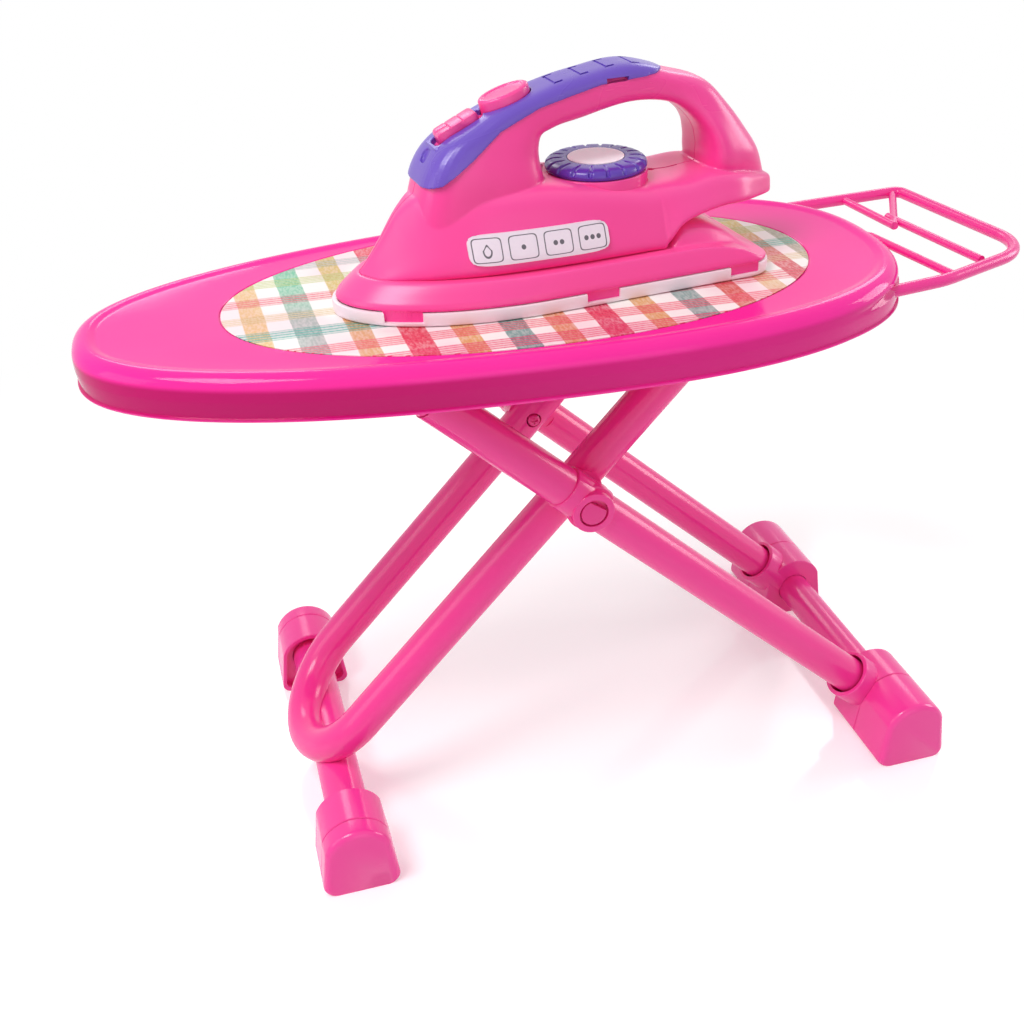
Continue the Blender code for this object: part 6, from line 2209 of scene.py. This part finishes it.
    def rib(self, number: int) -> Shape:
        """Cutter of one step of the thumb rest: a fine line across that ends in a short notch.

        Args:
            number: the step's number from the front.

        Returns:
            The cutter.
        """
        place = self.rib_start + self.rib_pitch * number / self.form.length
        low, high, half = self.cover_proud - 0.0005, 0.004, self.rib_half
        line = rectangle(-self.rib_line, -half, self.rib_line, half, low)
        cutter = Shape.prism("rib", line, Vector((0, 0, high)))
        for side in Side:
            start, end = (side.value * half * share for share in (0.82, 1.05))
            notch = rectangle(-self.rib_line, start, 0.0042, end, low - 0.0006)
            cutter.join(Shape.prism("notch", notch, Vector((0, 0, high))))
        return cutter.place(self.form.crest_frame(place))

    def in_slot(self, p: Vector) -> bool:
        """Whether a point of the skin lies behind the latch slot."""
        return abs(p.x - self.form.length * self.slot_share) < 0.0060 and p.y < -0.006

    def side_slot(self) -> Shape:
        """Cutter of the latch slot at the cover's lower edge on the near side."""
        x, z = self.form.length * self.slot_share, self.form.height * self.slot_height
        return Shape.block("slot", Vector((x - 0.0055, -0.03, z - 0.004)),
                           Vector((x + 0.0055, -0.004, z + 0.0020)))

    def button_hole(self, grow: float) -> Shape:
        """The oval hole for the spray button.

        Args:
            grow: clearance round the button.

        Returns:
            The cutter.
        """
        half_length, half_width = self.form.button_half
        rings = [oval(half_length + grow, half_width + grow, z, 64) for z in (-0.009, 0.006)]
        return Shape.loft("hole", rings).place(self.form.crest_frame(self.form.button_share))

    def build_label(self) -> None:
        """Makes the label plate, which follows the body's near flank."""
        form = self.form
        skin = Shape.loft("skin", form.sections(smooth_rows(form.HULL, 4)))
        tree = skin.tree()
        bpy.data.objects.remove(skin.thing)
        middle_z = self.label_top - self.label_height / 2
        centre = Vector((self.label_start + self.label_length / 2, -0.1, middle_z))
        columns, rows = self.label_columns, self.label_rows
        front: list[Ring] = []
        for j in range(rows + 1):
            line: Ring = []
            for i in range(columns + 1):
                u, v = 2 * i / columns - 1, 2 * j / rows - 1
                edge = max(abs(u) ** 9 + abs(v) ** 5 - 1, 0.0)
                shrink = 1 / (1 + edge * 0.16)
                spot = Vector((u * shrink * self.label_length / 2, 0,
                               v * shrink * self.label_height / 2))
                line.append(tree.ray_cast(centre + spot, Vector((0, 1, 0)))[0])
            front.append(line)
        bm = bmesh.new()
        outer, inner = ([[bm.verts.new(p + Vector((0, shift, 0))) for p in line] for line in front]
                        for shift in (-self.label_proud, self.label_sunk))
        for grid, flip in ((outer, False), (inner, True)):
            for j in range(rows):
                for i in range(columns):
                    face = (grid[j][i], grid[j][i + 1], grid[j + 1][i + 1], grid[j + 1][i])
                    bm.faces.new(face[::-1] if flip else face)
        border = [(0, i) for i in range(columns)] + [(j, columns) for j in range(rows)] \
            + [(rows, i) for i in range(columns, 0, -1)] + [(j, 0) for j in range(rows, 0, -1)]
        for (ja, ia), (jb, ib) in zip(border, border[1:] + border[:1]):
            bm.faces.new((outer[jb][ib], outer[ja][ia], inner[ja][ia], inner[jb][ib]))
        label = Shape.of("iron_setting_plate", bm)
        finish = LabelPlate(form=form, start=self.label_start, length=self.label_length,
                            middle_z=middle_z)
        label.place(form.frame).seat(Body.IRON, Slot.SOLE, finish.material("label_lilac"),
                                     "iron_label_plate")

    def build(self, finish: bpy.types.Material) -> None:
        """Makes the halves, the cover and the label plate.

        Args:
            finish: the halves' material.
        """
        self.build_halves(finish)
        self.build_cover()
        self.build_label()


@dataclass(frozen=True)
class LabelPlate(Finish):
    """Pale lilac plate with four outlined fields, each with a small heat mark of dots or a drop."""

    form: IronForm
    start: float
    length: float
    middle_z: float
    ground: str = "#EFE2EE"
    ink: str = "#2E2838"
    fields: int = 4
    frame_half: tuple[float, float] = (0.0070, 0.0054)

    def shade(self, shader: Shader) -> None:
        """Feeds the plate with its printed fields.

        Args:
            shader: the shader that is being built.
        """
        turn = self.form.frame.to_3x3()
        origin = Vector(self.form.seat_point)
        u = shader.along(origin, turn @ Vector((1, 0, 0)))
        w = shader.along(origin, Vector((0, 0, 1)))
        pitch = self.length / self.fields
        cell = ((u - self.start).sawtooth(pitch) - 0.5) * pitch
        number = shader.add("ShaderNodeMath", {"operation": "FLOOR"}, {0: (u - self.start) / pitch})
        tall = w - self.middle_z
        wide, high = self.frame_half
        reach = (abs(cell / wide) ** 7 + abs(tall / high) ** 7) ** (1 / 7)
        frame = reach.rise(0.90, 0.925) - reach.rise(0.975, 1.0)
        taper = 1 + tall.at_least(0.0) * 520.0
        drop = ((cell * taper) ** 2 + (tall + 0.0004) ** 2 * 0.55) ** 0.5
        dots: Value = ((1 - abs(number).rise(0.2, 0.4))
                       * (drop.rise(0.0014, 0.0016) - drop.rise(0.0021, 0.0023)))
        for field in range(1, self.fields):
            here = 1 - abs(number - field).rise(0.2, 0.4)
            for k in range(field):
                shift = (k - (field - 1) / 2) * 0.0031
                spot = ((cell - shift) ** 2 + tall ** 2) ** 0.5
                dots = dots + here * (1 - spot.rise(0.0010, 0.0012))
        ink = (frame + dots).at_most(1.0)
        fibre = shader.noise(700.0, 2.0)
        tone = shader.mix(fibre.rise(0.3, 0.8) * 0.12, self.ground, "#D8C6E4")
        shader.feed(Base_Color=shader.mix(ink * 0.9, tone, self.ink), Roughness=0.34 + fibre * 0.1,
                    Normal=shader.bump(fibre * 0.5 + ink * 0.5, 0.00004), Coat_Weight=0.2)


@dataclass
class IronControls:
    """The turning dial with its disc, the spray button and the slide switch."""

    form: IronForm
    dial_radius: float = 0.0249
    dial_height: float = 0.0054
    flutes: int = 18
    flute_depth: float = 0.0013
    disc_radius: float = 0.0138
    disc_rise: float = 0.0007
    recess: float = 0.0006
    button_rise: float = 0.0046
    switch_length: float = 0.0215
    switch_width: float = 0.0104
    switch_rise: float = 0.0034

    def build_dial(self) -> None:
        """Makes the dial: fluted rim, rounded shoulder and a shallow seat for the disc."""
        place, parts = self.form.dial_place, 24
        count, high, radius = self.flutes * parts, self.dial_height, self.dial_radius
        seat = self.disc_radius + FIT
        profile = ((0.0, 0.945, 0.0, 0.0), (0.06, 0.975, 0.0, 0.0), (0.22, 0.995, 0.0, 0.0),
                   (0.34, 1.0, 0.0, 0.0), (0.40, 1.0, 0.7, 0.0), (0.62, 0.985, 1.0, 0.0),
                   (0.78, 0.955, 0.9, 0.2), (0.90, 0.905, 0.7, 0.6), (0.97, 0.85, 0.4, 0.9),
                   (1.0, 0.79, 0.1, 1.0), (1.0, 0.72, 0.0, 0.8), (1.0, 0.67, 0.0, 0.4),
                   (1.0, 0.64, 0.0, 0.0))
        rings: list[Ring] = []
        for share, out, inwards, down in profile:
            ring: Ring = []
            for k in range(count):
                angle = math.tau * k / count
                groove = ease((abs(((k / parts) % 1.0) - 0.5) * 2 - 0.70) / 0.2)
                reach = radius * out - self.flute_depth * inwards * groove
                drop = self.flute_depth * 0.6 * down * groove
                ring.append(place + Vector((math.cos(angle) * reach, math.sin(angle) * reach,
                                            high * share - drop)))
            rings.append(ring)
        for reach, drop in ((seat + 0.0006, 0.0), (seat + 0.0001, 0.0001), (seat, 0.0003),
                            (seat, self.recess)):
            rings.append([place + p for p in oval(reach, reach, high - drop, count)])
        dial = Shape.loft("iron_heat_dial", rings)
        finish = Moulded("#5E38AE", "#4A2894", roughness=0.24, skin_depth=0.00001)
        dial.place(self.form.frame).seat(Body.DIAL, Slot.PURPLE, finish.material("dial_purple"),
                                         "iron_dial")
        base = place + Vector((0, 0, high - self.recess + FIT))
        rise, wide = self.disc_rise, self.disc_radius
        face = [(0, wide), (rise * 0.5, wide), (rise * 0.8, wide - 0.0003),
                (rise * 0.95, wide - 0.0010), (rise, wide - 0.0022), (rise * 0.8, wide - 0.0032),
                (rise * 0.8, wide * 0.3), (rise * 0.8, 0.0004)]
        disc = Shape.turned("iron_heat_disc", face, base, Vector((0, 0, 1)), 96)
        pale = Moulded("#FFFAFF", "#E4DCEC", roughness=0.32, skin_depth=0.00002)
        disc.place(self.form.frame).seat(Body.DIAL, Slot.SOLE, pale.material("disc_lilac"),
                                         "iron_dial_disc")

    def build_button(self) -> None:
        """Makes the spray button with a bevelled rim and a dished top."""
        half_length, half_width = self.form.button_half
        rise = self.button_rise
        profile = ((0.0, -0.0034), (0.0, rise * 0.72), (0.0001, rise * 0.80), (0.0004, rise * 0.90),
                   (0.0009, rise * 0.97), (0.0015, rise), (0.0024, rise), (0.0027, rise * 0.97),
                   (0.0030, rise * 0.90), (0.0034, rise * 0.89), (0.0050, rise * 0.86),
                   (0.0070, rise * 0.84))
        rings = [oval(half_length - inset, half_width - inset, z, 72) for inset, z in profile]
        button = Shape.loft("iron_spray_oval", rings)
        button.place(self.form.crest_frame(self.form.button_share))
        finish = Moulded("#FF4A9E", "#F53690", roughness=0.2, skin_depth=0.00002)
        button.place(self.form.frame).seat(Body.BUTTON, Slot.IRON_PINK,
                                           finish.material("button_pink"), "iron_spray_button")

    def build_switch(self) -> None:
        """Makes the slide switch: a dimple at its front and three grooved steps behind it."""
        half, wide, top = self.switch_length / 2, self.switch_width / 2, self.switch_rise
        side = [(-half, -0.0030), (half, -0.0030), (half, top - 0.0012),
                (half - 0.0005, top - 0.0004), (half - 0.0014, top)]
        for x in (half - 0.0075, half - 0.0140):
            side += [(x + 0.0004, top), (x, top - 0.0005), (x - 0.0004, top)]
        side += [(-half + 0.0020, top), (-half + 0.0008, top - 0.0004),
                 (-half + 0.0002, top - 0.0014)]
        block = Shape.prism("iron_thumb_slide", [Vector((x, -wide, z)) for x, z in side],
                            Vector((0, wide * 2, 0)))
        plan = rounded_plan(half, wide, 0.0026, -0.004, 8)
        switch = block.keep_inside(Shape.prism("plan", plan, Vector((0, 0, 0.012))))
        groove = Shape.block("groove", Vector((-half - 0.001, -0.0002, top - 0.0005)),
                             Vector((half - 0.0140, 0.0002, top + 0.002)))
        switch.cut(groove).bevel(0.0004, 2, 40)
        switch.place(self.form.crest_frame(self.form.switch_share))
        finish = Moulded("#FF4A9E", "#F53690", roughness=0.24, skin_depth=0.00002)
        switch.place(self.form.frame).seat(Body.SWITCH, Slot.IRON_PINK,
                                           finish.material("switch_pink"), "iron_slide_switch")

    def build(self) -> None:
        """Makes the dial, the button and the switch."""
        self.build_dial()
        self.build_button()
        self.build_switch()


@dataclass(frozen=True)
class HiddenHardware:
    """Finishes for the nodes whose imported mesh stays, most of them hidden from above."""

    steel_words: tuple[str, ...] = ("screw", "shaft", "rod", "spring", "washer", "channel")

    def dress(self, nodes: dict[str, bpy.types.Object]) -> None:
        """Gives every node that is still shown a procedural material.

        Args:
            nodes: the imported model's nodes by name.
        """
        steel = PlatedSteel().material("zinc_plate")
        pink = Moulded("#F23A98", "#D9257F", roughness=0.3).material("bracket_pink")
        for name, node in nodes.items():
            metal = any(word in name for word in self.steel_words)
            for slot in node.material_slots:
                slot.material = steel if metal else pink
            LOG.info("%s keeps its packed mesh", name)


@dataclass
class Studio:
    """Pale floor, soft light and the camera at the photograph's angle."""

    camera_place: tuple[float, float, float] = (-0.1859, -0.5864, 0.5186)
    camera_target: tuple[float, float, float] = (-0.0372, 0.0, 0.1482)
    roll: float = -2.519
    lens: float = 45.178
    floor_glow: float = 0.30
    room_light: float = 0.42
    sensor: float = 36.0
    nearest: float = 0.02
    farthest: float = 50.0
    floor_half: float = 3.0
    fade_start: float = 0.30
    fade_end: float = 0.75
    aim: tuple[float, float, float] = (0.0, 0.0, 0.15)

    # Name, place, edge length and watts of each lamp.
    LAMPS = (
        ("key_lamp", (-0.8, -0.35, 1.5), 0.6, 12.5), ("left_lamp", (-1.35, -0.15, 0.72), 0.7, 2.4),
        ("front_lamp", (0.15, -1.5, 0.55), 1.0, 2.2), ("right_lamp", (1.4, 0.0, 0.62), 0.6, 6.0),
        ("back_lamp_left", (-0.25, 1.3, 1.17), 0.45, 2.6),
        ("back_lamp_right", (1.15, 1.3, 1.25), 0.5, 3.0),
    )

    def build_camera(self) -> None:
        """Aims the camera and makes it the scene's."""
        place = Vector(self.camera_place)
        ahead = (Vector(self.camera_target) - place).normalized()
        right = ahead.cross(Vector((0, 0, 1))).normalized()
        up = right.cross(ahead)
        turn = math.radians(self.roll)
        right, up = (right * math.cos(turn) + up * math.sin(turn),
                     up * math.cos(turn) - right * math.sin(turn))
        data = bpy.data.cameras.new("photo_camera")
        data.lens, data.sensor_width = self.lens, self.sensor
        data.clip_start, data.clip_end = self.nearest, self.farthest
        camera = bpy.data.objects.new("photo_camera", data)
        turned = Matrix((right, up, -ahead)).transposed().to_4x4()
        camera.matrix_world = Matrix.Translation(place) @ turned
        bpy.context.scene.collection.objects.link(camera)
        bpy.context.scene.camera = camera

    def build_floor(self) -> None:
        """Lays the floor, which looks white to the camera but keeps the shadow."""
        bm = bmesh.new()
        bmesh.ops.create_grid(bm, x_segments=8, y_segments=8, size=self.floor_half)
        floor = Shape.of("studio_floor", bm).thing
        shader = Shader("studio_floor")
        grain = shader.noise(40.0, 2.0)
        x, y, _ = shader.axes()
        away = (x ** 2.0 + y ** 2.0) ** 0.5
        shader.feed(Base_Color=shader.mix(grain * 0.05, "#EFEFEF", "#E8E8E8"), Roughness=0.6,
                    Specular_IOR_Level=0.0)
        sheen = shader.add("ShaderNodeBsdfGlossy", inputs={"Color": "#FFFFFF", "Roughness": 0.12})
        lit = shader.mix_shaders(0.06, Signal(shader, shader.surface.outputs[0]), sheen)
        glow = shader.add("ShaderNodeEmission",
                          inputs={"Color": "#FFFFFF", "Strength": self.floor_glow})
        both = shader.add("ShaderNodeAddShader", inputs={0: lit, 1: glow})
        white = shader.add("ShaderNodeEmission", inputs={"Color": "#FFFFFF", "Strength": 1.0})
        faded = shader.mix_shaders(away.rise(self.fade_start, self.fade_end), both, white)
        shader.plug(shader.output.inputs["Surface"], shader.mix_shaders(shader.seen(), lit, faded))
        floor.data.materials.append(shader.material)
        floor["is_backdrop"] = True

    def build_world(self) -> None:
        """A white room: plain light for the object, full white for the camera and for gloss."""
        world = bpy.data.worlds.new("studio_world")
        bpy.context.scene.world = world
        nodes = Nodes(world)
        room, white = (nodes.add("ShaderNodeBackground",
                                 inputs={"Color": "#FFFFFF", "Strength": strength})
                       for strength in (self.room_light, 1.0))
        output = nodes.tree.nodes.new("ShaderNodeOutputWorld")
        nodes.plug(output.inputs["Surface"], nodes.mix_shaders(nodes.seen(), room, white))

    def build_lamps(self) -> None:
        """Hangs the square soft lamps, which all face one point."""
        for name, place, size, power in self.LAMPS:
            data = bpy.data.lights.new(name, "AREA")
            data.size, data.energy = size, power
            lamp = bpy.data.objects.new(name, data)
            lamp.location = Vector(place)
            ahead = Vector(self.aim) - Vector(place)
            lamp.rotation_euler = ahead.to_track_quat("-Z", "Y").to_euler()
            bpy.context.scene.collection.objects.link(lamp)

    def build(self) -> None:
        """Sets up the whole studio."""
        self.build_camera()
        self.build_floor()
        self.build_world()
        self.build_lamps()


def corners(box: Sequence[Sequence[float]]) -> list[list[float]]:
    """A box's two corners as plain lists."""
    return [[float(value) for value in corner] for corner in box]


def main() -> None:
    """Builds the studio and every sub-assembly in order, and notes the sizes."""
    logging.basicConfig(level=logging.INFO, format="%(name)s: %(message)s")
    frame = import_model()
    sizes = {"cad": corners(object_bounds())}
    bpy.context.scene.view_settings.view_transform = "Standard"
    Studio().build()
    rack, plan, form = IronRack(), LegPlan.standing(), IronForm()
    BoardTop().build(rack.rods("rack_holes", FIT))
    rack.build()
    InnerLeg(plan, INNER_FOOT).build()
    OuterLegs(plan, OUTER_FOOT).build()
    satin = BodyPlastic("#FA429C", "#F2308A", roughness=0.27, skin_depth=0.00001)
    iron_pink = satin.material("iron_pink")
    IronBase(form).build(iron_pink)
    IronBody(form).build(iron_pink)
    IronControls(form).build()
    shown = {name: node for name, node in frame["nodes"].items() if not node.hide_render}
    HiddenHardware().dress(shown)
    sizes["visual"] = corners(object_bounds())


if __name__ == "__main__":
    main()
